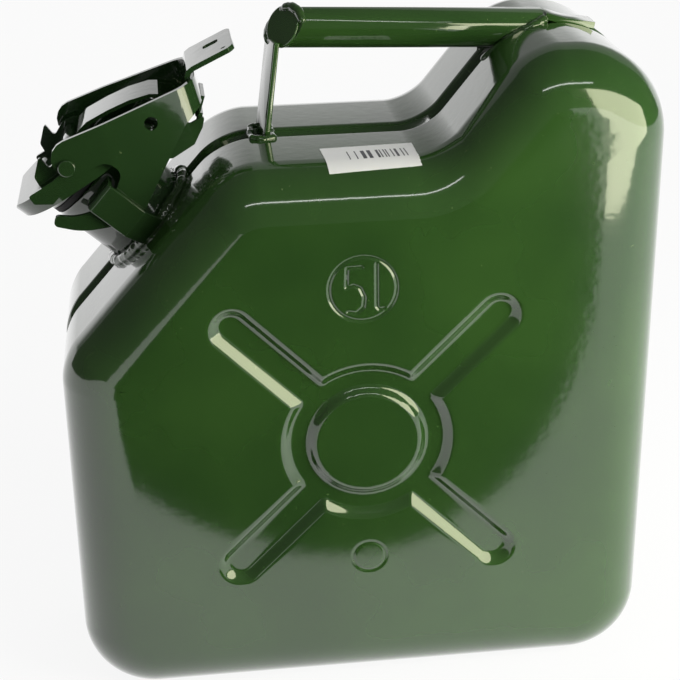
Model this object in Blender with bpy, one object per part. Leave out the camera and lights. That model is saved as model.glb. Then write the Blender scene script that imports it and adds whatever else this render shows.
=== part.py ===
"""Five-litre pressed-steel jerry can with a lever-locked cap.

The can stands on its narrow base, +Z up, with its large faces square to Y.
Two pressed half shells meet in a sunken seam on the plane Y = 0. The neck
leaves the sloping shoulder at right angles to it, and everything on the neck
is modelled in the closure's own axes: X uphill along the shoulder, Y across
the can and Z out along the neck.
"""
import math

import bmesh
import bpy
from mathutils import Matrix, Vector

# Body outline, seen square to the large face
WIDTH = 0.235
DEPTH = 0.117
FLAT_HEIGHT = 0.225
HUMP_RISE = 0.0406
HUMP_HEIGHT = FLAT_HEIGHT + HUMP_RISE
HUMP_LENGTH = 0.0535
RISE_RUN = 0.033
RISE_TOP_X = WIDTH / 2.0 - HUMP_LENGTH
RISE_FOOT_X = RISE_TOP_X - RISE_RUN
SHOULDER_RUN = 0.0668
SHOULDER_DROP = 0.075
SHOULDER_TOP_X = SHOULDER_RUN - WIDTH / 2.0
SHOULDER_FOOT_HEIGHT = FLAT_HEIGHT - SHOULDER_DROP
BASE_CORNER_RADIUS = 0.030
HUMP_REAR_RADIUS = 0.036
HUMP_FRONT_RADIUS = 0.026
RISE_FOOT_RADIUS = 0.022
SHOULDER_TOP_RADIUS = 0.028
SHOULDER_FOOT_RADIUS = 0.026
CORNER_STEPS = 6
CENTRE_SHIFT = 0.00676

# Pressed sheet and its seam
SHEET = 0.0010
FACE_RADIUS = 0.0215
FACE_STEPS = 5
SEAM_DEPTH = 0.0045
SEAM_HALF_WIDTH = 0.0062
SEAM_FLOOR_HALF = 0.0030
SEAM_WELD_HALF = 0.0007
SEAM_WELD_PROUD = 0.0006
GAP = 0.0003
OVERRUN = 0.004

# Pressed cross and its ring in the large faces
CROSS_X = 0.0
CROSS_HEIGHT = 0.1142
CROSS_DEPTH = 0.0030
DISC_RADIUS = 0.0200
RING_FLOOR_INNER = 0.0244
RING_FLOOR_OUTER = 0.0295
RING_OUTER = 0.0350
ARM_REACH = 0.0730
ARM_HALF_WIDTH = 0.0095
ARM_FLOOR_HALF = 0.0040
ARM_ANGLE = math.radians(45.0)
BADGE_X = -0.0014
BADGE_RISE = 0.0656
BADGE_HEIGHT = CROSS_HEIGHT + BADGE_RISE
BADGE_RADIUS = 0.0130
BADGE_LINE_HALF = 0.0007
BADGE_LINE_DEPTH = 0.0005
ROUND_STEPS = 32

# Neck
NECK_SHARE = 0.566
NECK_RADIUS = 0.0203
NECK_WALL = 0.0012
NECK_LENGTH = 0.0300
NECK_SUNK = 0.0060
NECK_LIP = 0.0016
NECK_BEAD = 0.0034
NECK_BEAD_HEIGHT = 0.0030
BEAD_RIPPLE_SHARE = 0.16
BEAD_RIPPLES = 9

# Breather inside the can
BREATHER_RADIUS = 0.0035
BREATHER_BORE = 0.0024
BREATHER_X = 0.0130
BREATHER_TOP = 0.0230
BREATHER_KNEE = -0.0140
BREATHER_BEND = 0.0100
BREATHER_END_X = 0.0380
CLIP_LOW = 0.0050
CLIP_HIGH = 0.0130
CLIP_SHEET = 0.0012
CLIP_HALF = 0.0045

# Locking lugs on both sides of the neck
LUG_SHEET = 0.0020
LUG_TOP = 0.0266
LUG_OUT = 0.0274
LUG_FOOT = 0.0036
LUG_LOW = -0.0064
LUG_HIGH = 0.0077
LUG_LIP = 0.0006
LUG_CORNER = 0.0014

# Cap: gasket, plate, cup and the pressed carrier over them
GASKET_THICK = 0.0027
GASKET_BORE = 0.0150
PLATE_SHEET = 0.0010
PLATE_RADIUS = 0.0200
PLATE_CUP_RADIUS = 0.0140
PLATE_CUP_DEPTH = 0.0045
CARRIER_SHEET = 0.0015
CARRIER_HALF = 0.0221
NOSE_X = -0.0280
NOSE_BEND_X = -0.0130
NOSE_FRONT = 0.0430
NOSE_BREAK_X = -0.0262
NOSE_BREAK = 0.0454
NOSE_TOP_X = -0.0235
NOSE_TOP = 0.0460
CROWN_X = -0.0085
CROWN_TOP = 0.0395
WEB_END_X = 0.0260
WEB_END_TOP = 0.0385
SKIRT_NOSE = 0.0400
SKIRT_MID_X = 0.0092
SKIRT_MID = 0.0303
SKIRT_REAR_X = 0.0200
SKIRT_REAR = 0.0277
SKIRT_DROP_X = 0.0281
SKIRT_DROP = 0.0142
EAR_FOOT_X = -0.0126
EAR_FOOT = 0.0390
EAR_FRONT = 0.0445
EAR_APEX_X = -0.0045
EAR_APEX = 0.0503
EAR_BACK_X = 0.0052
EAR_BACK = 0.0485
EAR_END_X = 0.0095
EAR_END = 0.0435
EAR_LOW = 0.0360
EAR_ROUND = 0.0030
FLANGE_FRONT = 0.0330
FLANGE_TOP_X = 0.0400
FLANGE_TOP = 0.0320
FLANGE_BACK_X = 0.0440
FLANGE_BACK = 0.0240
FLANGE_LOW = 0.0170
TAIL_END_X = 0.0505
TAIL_END = 0.0157
TAIL_BEND_X = 0.0473
TAIL_BEND = 0.0137
TAIL_FOOT_X = 0.0380
TAIL_FOOT = 0.0104
TAIL_LEG_X = 0.0300
TAIL_LEG = 0.0094
TAIL_LIP_X = 0.0545
TAIL_LIP = 0.0183
TAIL_SLOT_HALF = 0.0152
TAIL_SLOT_X = 0.0465
LIP_HALF = 0.0095
RIVET_X = -0.0049
RIVET_RADIUS = 0.0020
RIVET_HEAD_RADIUS = 0.0030
RIVET_HEAD = 0.0011

# Hinge at the handle side of the neck
HINGE_X = 0.0310
HINGE_OUT = 0.0260
HINGE_PIN_RADIUS = 0.0025
HINGE_EAR_INNER = 0.0120
HINGE_EAR_OUTER = 0.0145
HINGE_EAR_RADIUS = 0.0050
HINGE_EAR_LOW = 0.0120
HINGE_EAR_TOP = 0.0290
HINGE_EAR_ROOT_X = 0.0120
HINGE_EAR_FOOT_X = 0.0170
HINGE_EAR_START = math.radians(-62.0)
HINGE_EAR_STOP = math.radians(95.0)

# Locking lever
PIVOT_X = 0.0034
PIVOT_OUT = 0.0428
PIVOT_RADIUS = 0.0019
PIVOT_HEAD_RADIUS = 0.0032
PIVOT_HEAD = 0.0008
SLEEVE_RADIUS = 0.0030
LEVER_SHEET = 0.0020
LEVER_OUT = 0.0244
LEVER_END_RADIUS = 0.0074
LEVER_END_X = 0.0565
LEVER_END_OUT = 0.0282
LEVER_WEB_LOW_X = 0.0502
LEVER_WEB_LOW = 0.0184
LEVER_BEND = 0.0055
SLOT_RADIUS = 0.0168
SLOT_HALF = 0.0037
SLOT_END_ANGLE = math.radians(-66.2)
BEAK_ANGLE = math.radians(-154.0)
BEAK_REACH = 0.0256
HEEL_ANGLE = math.radians(-83.8)
HEEL_REACH = 0.0341
SLOT_MOUTH_ANGLE = math.radians(-104.0)
END_STOP_ANGLE = math.radians(-158.0)
TOE_X = 0.0197
TOE_OUT = 0.0111
SOLE_X = 0.0273
SOLE_OUT = 0.0146
WAIST_X = 0.0330
WAIST_OUT = 0.0167
KNEE_X = 0.0445
KNEE_OUT = 0.0196
LOCK_HOLE_X = 0.0350
LOCK_HOLE_OUT = 0.0276
LOCK_HOLE_RADIUS = 0.0023
TAB_LENGTH = 0.0195
TAB_HALF = 0.0085
TAB_CORNER = 0.0030
TAB_SLOPE = math.radians(-16.0)
TAB_ROOT_X = 0.0548
TAB_ROOT_OUT = 0.0277
TAB_SLOT_X = 0.0120
TAB_SLOT_HALF_LENGTH = 0.0036
TAB_SLOT_HALF_WIDTH = 0.0014

# Handle
GRIP_RADIUS = 0.00775
GRIP_WALL = 0.0012
GRIP_SIDES = 20
GRIP_OVERLAP = 0.0130
GRIP_REAR_SINK = 0.0030
GRIP_FRONT_LIFT = 0.0011
GRIP_REAR_X = RISE_TOP_X + GRIP_OVERLAP
GRIP_REAR_HEIGHT = HUMP_HEIGHT - GRIP_REAR_SINK
GRIP_FRONT_HEIGHT = HUMP_HEIGHT + GRIP_FRONT_LIFT
POST_SETBACK = 0.0167
POST_LEAN = 0.0078
POST_SINK = 0.0050
POST_SHEET = 0.0025
POST_HALF_WIDTH = 0.0075
POST_TOP_HALF_WIDTH = 0.0060
POST_BEND = 0.0055
POST_FOLD = 0.0112
POST_TO_GRIP = 0.0049
POST_FOOT_X = SHOULDER_TOP_X + POST_SETBACK
POST_FOOT_HEIGHT = FLAT_HEIGHT - POST_SINK
POST_KNEE_X = POST_FOOT_X + POST_LEAN
POST_OVER_X = POST_KNEE_X + POST_FOLD
GRIP_FRONT_X = POST_KNEE_X + POST_TO_GRIP
TONGUE_HALF_WIDTH = 0.0052
TONGUE_SHEET = 0.0025
TONGUE_CLEARANCE = 0.0013
TONGUE_RUN = 0.0077
TONGUE_LENGTH = 0.0197
TONGUE_START_X = GRIP_REAR_X + TONGUE_CLEARANCE
TONGUE_BEND_X = TONGUE_START_X + TONGUE_RUN
TONGUE_END_X = TONGUE_START_X + TONGUE_LENGTH
TONGUE_START_RISE = 0.0024
TONGUE_END_SINK = 0.0020
TONGUE_START_HEIGHT = HUMP_HEIGHT + TONGUE_START_RISE
TONGUE_BEND_HEIGHT = HUMP_HEIGHT
TONGUE_END_HEIGHT = HUMP_HEIGHT - TONGUE_END_SINK

# Hand-laid weld beads
WELD_RADIUS = 0.0021
WELD_SIDES = 6
WELD_RIPPLE_SHARE = 0.22
WELD_STEPS = 3
FRONT_WELD_START = 0.0008
FRONT_WELD_TURN = 0.0005
FRONT_WELD_TIP = 0.0022
FRONT_WELD_START_X = GRIP_FRONT_X + FRONT_WELD_START
FRONT_WELD_TURN_X = POST_OVER_X + FRONT_WELD_TURN
FRONT_WELD_TIP_X = POST_OVER_X + FRONT_WELD_TIP
FRONT_WELD_HALF = 0.0064
FRONT_WELD_SINK = 0.0012
FOOT_WELD_HALF = 0.0092
FOOT_WELD_REACH = 0.0042
FOOT_WELD_CORNER = 0.0034
FOOT_WELD_PITCH = 0.0014
FOOT_WELD_LIFT = 0.0008
FOOT_WELD_SINK = 0.0012
FOOT_WELD_HEIGHT = FLAT_HEIGHT + FOOT_WELD_LIFT
FOOT_WELD_DIP = FLAT_HEIGHT - FOOT_WELD_SINK
FOOT_WELD_INNER = 0.0040
# Rear bead: run along the grip from the top of the rise, half width, drop from the hump
REAR_WELD_ROUTE = [
    (0.0138, 0.0060, -0.0012),
    (0.0100, 0.0078, -0.0009),
    (0.0050, 0.0084, -0.0006),
    (0.0, 0.0086, 0.0016),
    (-0.0040, 0.0082, 0.0061),
    (-0.0075, 0.0060, 0.0101),
    (-0.0090, 0.0030, 0.0126),
    (-0.0095, 0.0, 0.0131),
]
REAR_WELD_NORMAL = (0.45, 0.0, -0.9)

BODY_GREEN = (0.018, 0.065, 0.022)
DARK_RUBBER = (0.012, 0.012, 0.012)


def clear_scene():
    for item in list(bpy.data.objects):
        bpy.data.objects.remove(item, do_unlink=True)


def finish(name, colour, roughness, metallic):
    material = bpy.data.materials.new(name)
    material.use_nodes = True
    shader = material.node_tree.nodes["Principled BSDF"]
    shader.inputs["Base Color"].default_value = (*colour, 1.0)
    shader.inputs["Roughness"].default_value = roughness
    shader.inputs["Metallic"].default_value = metallic
    return material


def empty(name, location, parent=None, turn=0.0):
    item = bpy.data.objects.new(name, None)
    item.location = location
    item.rotation_euler = (0.0, turn, 0.0)
    item.parent = parent
    bpy.context.collection.objects.link(item)
    return item


def piece(name, form, parent, material=None):
    mesh = bpy.data.meshes.new(name)
    bmesh.ops.recalc_face_normals(form, faces=form.faces)
    form.to_mesh(mesh)
    form.free()
    item = bpy.data.objects.new(name, mesh)
    item.parent = parent
    bpy.context.collection.objects.link(item)
    if material is None:
        item.hide_render = True
        item.display_type = "WIRE"
    else:
        mesh.materials.append(material)
        mesh.shade_smooth()
        mesh.set_sharp_from_angle(angle=math.radians(35.0))
    return item


def combine(item, other, operation):
    step = item.modifiers.new(operation.lower(), "BOOLEAN")
    step.operation = operation
    step.solver = "EXACT"
    step.object = other
    return item


def cut(item, other):
    return combine(item, other, "DIFFERENCE")


def join(item, other):
    return combine(item, other, "UNION")


def meet(item, other):
    return combine(item, other, "INTERSECT")


def loft(rings, ring_closed=True, ends_closed=True, looped=False):
    """Skin a run of rings that all have the same number of points."""
    form = bmesh.new()
    loops = [[form.verts.new(point) for point in ring] for ring in rings]
    count = len(loops[0])
    pairs = list(zip(loops, loops[1:]))
    if looped:
        pairs.append((loops[-1], loops[0]))
    for first, second in pairs:
        for i in range(count if ring_closed else count - 1):
            j = (i + 1) % count
            form.faces.new((first[i], first[j], second[j], second[i]))
    if ends_closed and not looped:
        form.faces.new(loops[0])
        form.faces.new(loops[-1])
    return form


def prism_across(points, low, high):
    """Extrude an X-Z outline across the can, from Y = low to Y = high."""
    return loft([[(x, y, z) for x, z in points] for y in (low, high)])


def prism_out(points, low, high, lean=0.0):
    """Extrude an X-Y outline from Z = low to Z = high, leaning towards +X."""
    return loft([[(x + lean * z, y, z) for x, y in points] for z in (low, high)])


def turned(profile, steps=ROUND_STEPS):
    """Turn a closed radius-height profile about Z."""
    rings = []
    for radius, height in profile:
        ring = []
        for k in range(steps):
            angle = 2.0 * math.pi * k / steps
            ring.append((radius * math.cos(angle), radius * math.sin(angle), height))
        rings.append(ring)
    return loft(rings, looped=True)


def rod(radius, low, high, steps=ROUND_STEPS):
    """A solid cylinder on Z."""
    rings = []
    for height in (low, high):
        rings.append([(radius * math.cos(2.0 * math.pi * k / steps),
                       radius * math.sin(2.0 * math.pi * k / steps), height)
                      for k in range(steps)])
    return loft(rings)


def cross_rod(radius, x, z, low, high, steps=16):
    """A solid cylinder along Y through (x, z)."""
    points = [(x + radius * math.cos(2.0 * math.pi * k / steps),
               z + radius * math.sin(2.0 * math.pi * k / steps)) for k in range(steps)]
    return prism_across(points, low, high)


def arc(centre, radius, start, end, steps):
    return [(centre[0] + radius * math.cos(start + (end - start) * k / steps),
             centre[1] + radius * math.sin(start + (end - start) * k / steps))
            for k in range(steps + 1)]


def rounded(corners, steps):
    """Round each ((x, y), radius) corner of a closed outline."""
    points = []
    count = len(corners)
    for i, (corner, radius) in enumerate(corners):
        here = Vector(corner)
        back = (Vector(corners[i - 1][0]) - here).normalized()
        ahead = (Vector(corners[(i + 1) % count][0]) - here).normalized()
        if radius <= 0.0:
            points.append(tuple(here))
            continue
        half = back.angle(ahead) / 2.0
        centre = here + (back + ahead).normalized() * radius / math.sin(half)
        start = here + back * radius / math.tan(half) - centre
        sweep = start.angle_signed(here + ahead * radius / math.tan(half) - centre)
        first = math.atan2(start.y, start.x)
        points += arc(centre, radius, first, first - sweep, steps)
    return points


def sweep_tube(path, radius, bore, sides):
    """A tube along a path that lies in a plane square to Y, open at both ends."""
    outer, inner = [], []
    for i, point in enumerate(path):
        here = Vector(point)
        along = Vector(path[min(i + 1, len(path) - 1)]) - Vector(path[max(i - 1, 0)])
        along.normalize()
        side = Vector((0.0, 1.0, 0.0))
        lift = along.cross(side)
        ring, hole = [], []
        for k in range(sides):
            angle = 2.0 * math.pi * k / sides
            spoke = side * math.cos(angle) + lift * math.sin(angle)
            ring.append(here + spoke * radius)
            hole.append(here + spoke * bore)
        outer.append(ring)
        inner.append(hole)
    return loft(outer + inner[::-1], looped=True)


def smooth_path(points, steps):
    """Points on one smooth curve through the given ones."""
    route = []
    last = len(points) - 1
    for i in range(last):
        p0, p1 = Vector(points[max(i - 1, 0)]), Vector(points[i])
        p2, p3 = Vector(points[i + 1]), Vector(points[min(i + 2, last)])
        for k in range(steps):
            t = k / steps
            route.append(0.5 * ((2.0 * p1) + (p2 - p0) * t
                                + (2.0 * p0 - 5.0 * p1 + 4.0 * p2 - p3) * t ** 2
                                + (3.0 * p1 - p0 - 3.0 * p2 + p3) * t ** 3))
    route.append(Vector(points[-1]))
    return route


def strip(path, sheet, half_widths):
    """A flat strip of sheet along an X-Z path, with its width across the can."""
    rings = []
    for i, point in enumerate(path):
        here = Vector(point)
        along = Vector(path[min(i + 1, len(path) - 1)]) - Vector(path[max(i - 1, 0)])
        side = Vector((-along.y, along.x)).normalized() * sheet / 2.0
        half = half_widths[i]
        upper, lower = here + side, here - side
        rings.append([(upper.x, -half, upper.y), (upper.x, half, upper.y),
                      (lower.x, half, lower.y), (lower.x, -half, lower.y)])
    return loft(rings)


# Body outline as seen from the front, with the radius of each corner
BODY_CORNERS = [
    ((-WIDTH / 2.0, 0.0), BASE_CORNER_RADIUS),
    ((WIDTH / 2.0, 0.0), BASE_CORNER_RADIUS),
    ((WIDTH / 2.0, HUMP_HEIGHT), HUMP_REAR_RADIUS),
    ((RISE_TOP_X, HUMP_HEIGHT), HUMP_FRONT_RADIUS),
    ((RISE_FOOT_X, FLAT_HEIGHT), RISE_FOOT_RADIUS),
    ((SHOULDER_TOP_X, FLAT_HEIGHT), SHOULDER_TOP_RADIUS),
    ((-WIDTH / 2.0, SHOULDER_FOOT_HEIGHT), SHOULDER_FOOT_RADIUS),
]
SHOULDER_ANGLE = math.atan2(FLAT_HEIGHT - SHOULDER_FOOT_HEIGHT, SHOULDER_TOP_X + WIDTH / 2.0)
NECK_X = -WIDTH / 2.0 + NECK_SHARE * (SHOULDER_TOP_X + WIDTH / 2.0)
NECK_Z = SHOULDER_FOOT_HEIGHT + NECK_SHARE * (FLAT_HEIGHT - SHOULDER_FOOT_HEIGHT)


def body_outline(inset):
    """The can's outline, drawn in by the same distance all round."""
    corners = []
    count = len(BODY_CORNERS)
    for i, (corner, radius) in enumerate(BODY_CORNERS):
        here = Vector(corner)
        back = (here - Vector(BODY_CORNERS[i - 1][0])).normalized()
        ahead = (Vector(BODY_CORNERS[(i + 1) % count][0]) - here).normalized()
        inward_back = Vector((-back.y, back.x))
        inward_ahead = Vector((-ahead.y, ahead.x))
        shift = (inward_back + inward_ahead) / (1.0 + inward_back.dot(inward_ahead))
        hollow = back.x * ahead.y - back.y * ahead.x < 0.0
        drawn = radius + inset if hollow else radius - inset
        corners.append((tuple(here + shift * inset), drawn))
    return rounded(corners, CORNER_STEPS)


def half_profile(sheet, seam_edge):
    """Inset and distance from the seam, from the seam's floor to the face."""
    points = [(SEAM_DEPTH + sheet, seam_edge), (SEAM_DEPTH + sheet, SEAM_FLOOR_HALF + sheet)]
    rise = SEAM_HALF_WIDTH - SEAM_FLOOR_HALF
    for share in (0.5, 1.0):
        points.append((SEAM_DEPTH * (1.0 - share) + sheet, SEAM_FLOOR_HALF + rise * share + sheet))
    radius = FACE_RADIUS - sheet
    for k in range(FACE_STEPS + 1):
        angle = math.pi / 2.0 * k / FACE_STEPS
        points.append((FACE_RADIUS - radius * math.cos(angle),
                       DEPTH / 2.0 - FACE_RADIUS + radius * math.sin(angle)))
    return points


def half_blank(side, sheet, seam_edge):
    """One pressed half as a filled block, on the side of the seam given."""
    rings = []
    for inset, distance in half_profile(sheet, seam_edge):
        rings.append([(x, side * distance, z) for x, z in body_outline(inset)])
    return loft(rings)


def whole_blank(clearance):
    """The whole can as a filled block, grown by a clearance and clear of the weld."""
    profile = half_profile(-clearance, 0.0)
    floor = SEAM_DEPTH - SEAM_WELD_PROUD - clearance
    profile[0] = (floor, profile[0][1])
    profile[1] = (floor, profile[1][1])
    rings = []
    for inset, distance in reversed(profile):
        rings.append([(x, -distance, z) for x, z in body_outline(inset)])
    for inset, distance in profile[1:]:
        rings.append([(x, distance, z) for x, z in body_outline(inset)])
    return loft(rings)


def press_steps(depth, swell):
    """Share of the slope and depth at each step down a pressed channel."""
    steps = [(0.0, -OVERRUN)]
    for k in range(4):
        share = k / 3.0
        steps.append((share, (depth + swell) * (1.0 - math.cos(math.pi * share)) / 2.0))
    return steps


def ring_cutter(swell):
    profile = []
    for share, depth in press_steps(CROSS_DEPTH, swell):
        profile.append((RING_OUTER + swell + (RING_FLOOR_OUTER - RING_OUTER) * share, depth))
    for share, depth in reversed(press_steps(CROSS_DEPTH, swell)):
        profile.append((DISC_RADIUS - swell + (RING_FLOOR_INNER - DISC_RADIUS) * share, depth))
    return turned(profile)


def arm_cutter(angle, swell):
    rings = []
    inner = (RING_FLOOR_INNER + RING_FLOOR_OUTER) / 2.0
    for share, depth in press_steps(CROSS_DEPTH, swell):
        half = ARM_HALF_WIDTH + swell + (ARM_FLOOR_HALF - ARM_HALF_WIDTH) * share
        outline = [(inner, half), (inner, -half)]
        outline += arc((ARM_REACH, 0.0), half, -math.pi / 2.0, math.pi / 2.0, 8)
        turn = Matrix.Rotation(angle, 2)
        rings.append([(*(turn @ Vector(point)), depth) for point in outline])
    return loft(rings)


def badge_cutter():
    profile = [(BADGE_RADIUS - BADGE_LINE_HALF, -OVERRUN),
               (BADGE_RADIUS + BADGE_LINE_HALF, -OVERRUN),
               (BADGE_RADIUS + BADGE_LINE_HALF, 0.0),
               (BADGE_RADIUS, BADGE_LINE_DEPTH),
               (BADGE_RADIUS - BADGE_LINE_HALF, 0.0)]
    return turned(profile)


def on_face(item, side, x, height):
    """Stand a cutter on a large face, with its Z axis going into the can."""
    item.location = (x, side * DEPTH / 2.0, height)
    item.rotation_euler = (side * math.pi / 2.0, 0.0, 0.0)
    return item


def shell(name, side, root, material, neck_hole):
    """One pressed half of the can, an open pan of sheet with its cross."""
    item = piece(name, half_blank(side, 0.0, SEAM_WELD_HALF + GAP), root, material)
    cavity = piece(name + "_cavity", half_blank(side, SHEET, -OVERRUN), root)
    face = empty(name + "_face", (CROSS_X, side * DEPTH / 2.0, CROSS_HEIGHT), root)
    face.rotation_euler = (side * math.pi / 2.0, 0.0, 0.0)
    for swell, target, label in ((0.0, item, "_cut"), (SHEET, cavity, "_bulge")):
        cut(target, piece(name + label + "_ring", ring_cutter(swell), face))
        for k in range(4):
            angle = ARM_ANGLE + math.pi / 2.0 * k
            cut(target, piece(f"{name}{label}_arm_{k}", arm_cutter(angle, swell), face))
    badge = piece(name + "_badge_cut", badge_cutter(), root)
    cut(item, on_face(badge, side, BADGE_X, BADGE_HEIGHT))
    cut(item, cavity)
    return cut(item, neck_hole)


def seam_weld():
    """The weld bead that closes the two halves, round the whole outline."""
    top = SEAM_DEPTH - SEAM_WELD_PROUD
    low = SEAM_DEPTH + SHEET
    rings = []
    for inset, y in ((low, -SEAM_WELD_HALF), (top, -SEAM_WELD_HALF / 2.0),
                     (top, SEAM_WELD_HALF / 2.0), (low, SEAM_WELD_HALF)):
        rings.append([(x, y, z) for x, z in body_outline(inset)])
    return loft(rings, looped=True)


def neck_tube():
    bore = NECK_RADIUS - NECK_WALL
    lip = bore - NECK_LIP
    return turned([(NECK_RADIUS, -NECK_SUNK),
                   (NECK_RADIUS, NECK_LENGTH - NECK_WALL),
                   (NECK_RADIUS - NECK_WALL / 2.0, NECK_LENGTH),
                   (lip + NECK_WALL / 2.0, NECK_LENGTH),
                   (lip, NECK_LENGTH - NECK_WALL / 2.0),
                   (lip + NECK_WALL / 2.0, NECK_LENGTH - NECK_WALL),
                   (bore, NECK_LENGTH - NECK_WALL),
                   (bore, -NECK_SUNK)])


def neck_bead():
    """The rippled weld round the foot of the neck, deep enough to fill the seam."""
    rings = []
    inner = NECK_RADIUS + GAP
    steps = BEAD_RIPPLES * 6
    for k in range(steps):
        angle = 2.0 * math.pi * k / steps
        swell = 1.0 + BEAD_RIPPLE_SHARE * math.cos(BEAD_RIPPLES * 2.0 * angle)
        outer = inner + NECK_BEAD * swell
        shoulder = inner + NECK_BEAD * swell / 2.0
        high = NECK_BEAD_HEIGHT * swell
        ring = []
        for radius, height in ((inner, -SEAM_DEPTH * 2.0), (outer, -SEAM_DEPTH * 2.0),
                               (outer, high / 2.0), (shoulder, high), (inner, high)):
            ring.append((radius * math.cos(angle), radius * math.sin(angle), height))
        rings.append(ring)
    return loft(rings, looped=True)


def lug(side):
    inner = LUG_OUT - LUG_SHEET
    points = rounded([((NECK_RADIUS - OVERRUN, LUG_FOOT), 0.0),
                      ((LUG_OUT, LUG_FOOT), LUG_CORNER),
                      ((LUG_OUT, LUG_TOP), LUG_CORNER),
                      ((inner - LUG_LIP, LUG_TOP), 0.0),
                      ((inner - LUG_LIP, LUG_TOP - LUG_SHEET), 0.0),
                      ((inner, LUG_TOP - LUG_SHEET), 0.0),
                      ((inner, LUG_FOOT + LUG_SHEET), 0.0),
                      ((NECK_RADIUS - OVERRUN, LUG_FOOT + LUG_SHEET), 0.0)], 3)
    return loft([[(x, side * y, z) for y, z in points] for x in (LUG_LOW, LUG_HIGH)])


def hinge_ear(side):
    hinge = (HINGE_X, HINGE_OUT)
    points = [(HINGE_EAR_ROOT_X, HINGE_EAR_LOW), (HINGE_EAR_FOOT_X, HINGE_EAR_LOW)]
    points += arc(hinge, HINGE_EAR_RADIUS, HINGE_EAR_START, HINGE_EAR_STOP, 12)
    points.append((HINGE_EAR_ROOT_X, HINGE_EAR_TOP))
    return prism_across(points, side * HINGE_EAR_INNER, side * HINGE_EAR_OUTER)


def cap_plate():
    """A disc with a shallow cup pressed down into the neck."""
    high = NECK_LENGTH + GAP * 2.0 + GASKET_THICK
    low = high - PLATE_CUP_DEPTH
    cup = PLATE_CUP_RADIUS
    sheet = PLATE_SHEET
    profile = [(cup - sheet, low), (cup, low + sheet), (cup, high), (PLATE_RADIUS, high),
               (PLATE_RADIUS, high + sheet), (cup - sheet, high + sheet),
               (cup - sheet, low + sheet * 2.0), (cup - sheet * 2.0, low + sheet)]
    rings = []
    for radius, height in profile:
        rings.append([(radius * math.cos(2.0 * math.pi * k / ROUND_STEPS),
                       radius * math.sin(2.0 * math.pi * k / ROUND_STEPS), height)
                      for k in range(ROUND_STEPS)])
    return loft(rings)


def carrier_plan(inset):
    """The carrier's outline from above, straight sides and a rounded nose."""
    half = CARRIER_HALF - inset
    reach = NOSE_BEND_X - NOSE_X - inset
    points = [(TAIL_LIP_X + OVERRUN, half)]
    for k in range(ROUND_STEPS // 2 + 1):
        angle = math.pi / 2.0 + math.pi * k / (ROUND_STEPS // 2)
        points.append((NOSE_BEND_X + reach * math.cos(angle), half * math.sin(angle)))
    points.append((TAIL_LIP_X + OVERRUN, -half))
    return points


def carrier_crown(drop):
    """The top line of the carrier's web from the nose back."""
    return [(NOSE_X, NOSE_FRONT - drop), (NOSE_BREAK_X, NOSE_BREAK - drop),
            (NOSE_TOP_X, NOSE_TOP - drop), (CROWN_X, CROWN_TOP - drop),
            (WEB_END_X, WEB_END_TOP - drop)]


def carrier_side():
    points = carrier_crown(0.0)
    points += [(WEB_END_X, FLANGE_FRONT), (FLANGE_TOP_X, FLANGE_TOP),
               (FLANGE_BACK_X, FLANGE_BACK), (FLANGE_BACK_X, FLANGE_LOW),
               (TAIL_END_X, TAIL_END), (TAIL_BEND_X, TAIL_BEND), (TAIL_FOOT_X, TAIL_FOOT),
               (TAIL_LEG_X, TAIL_LEG), (SKIRT_DROP_X, SKIRT_DROP),
               (SKIRT_REAR_X, SKIRT_REAR), (SKIRT_MID_X, SKIRT_MID), (NOSE_X, SKIRT_NOSE)]
    return points


def carrier_hollow():
    points = carrier_crown(CARRIER_SHEET)
    points[0] = (NOSE_X - OVERRUN, NOSE_FRONT - CARRIER_SHEET)
    points += [(WEB_END_X, EAR_APEX), (TAIL_LIP_X + OVERRUN * 2.0, EAR_APEX),
               (TAIL_LIP_X + OVERRUN * 2.0, 0.0), (NOSE_X - OVERRUN, 0.0)]
    return points


def carrier_ear(side):
    points = rounded([((EAR_FOOT_X, EAR_FOOT), 0.0), ((EAR_FOOT_X, EAR_FRONT), EAR_ROUND / 2.0),
                      ((EAR_APEX_X, EAR_APEX), EAR_ROUND), ((EAR_BACK_X, EAR_BACK), EAR_ROUND),
                      ((EAR_END_X, EAR_END), EAR_ROUND), ((EAR_END_X, EAR_LOW), 0.0),
                      ((EAR_APEX_X, EAR_LOW), 0.0)], 3)
    inner = CARRIER_HALF - CARRIER_SHEET
    return prism_across(points, side * inner, side * CARRIER_HALF)


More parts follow.
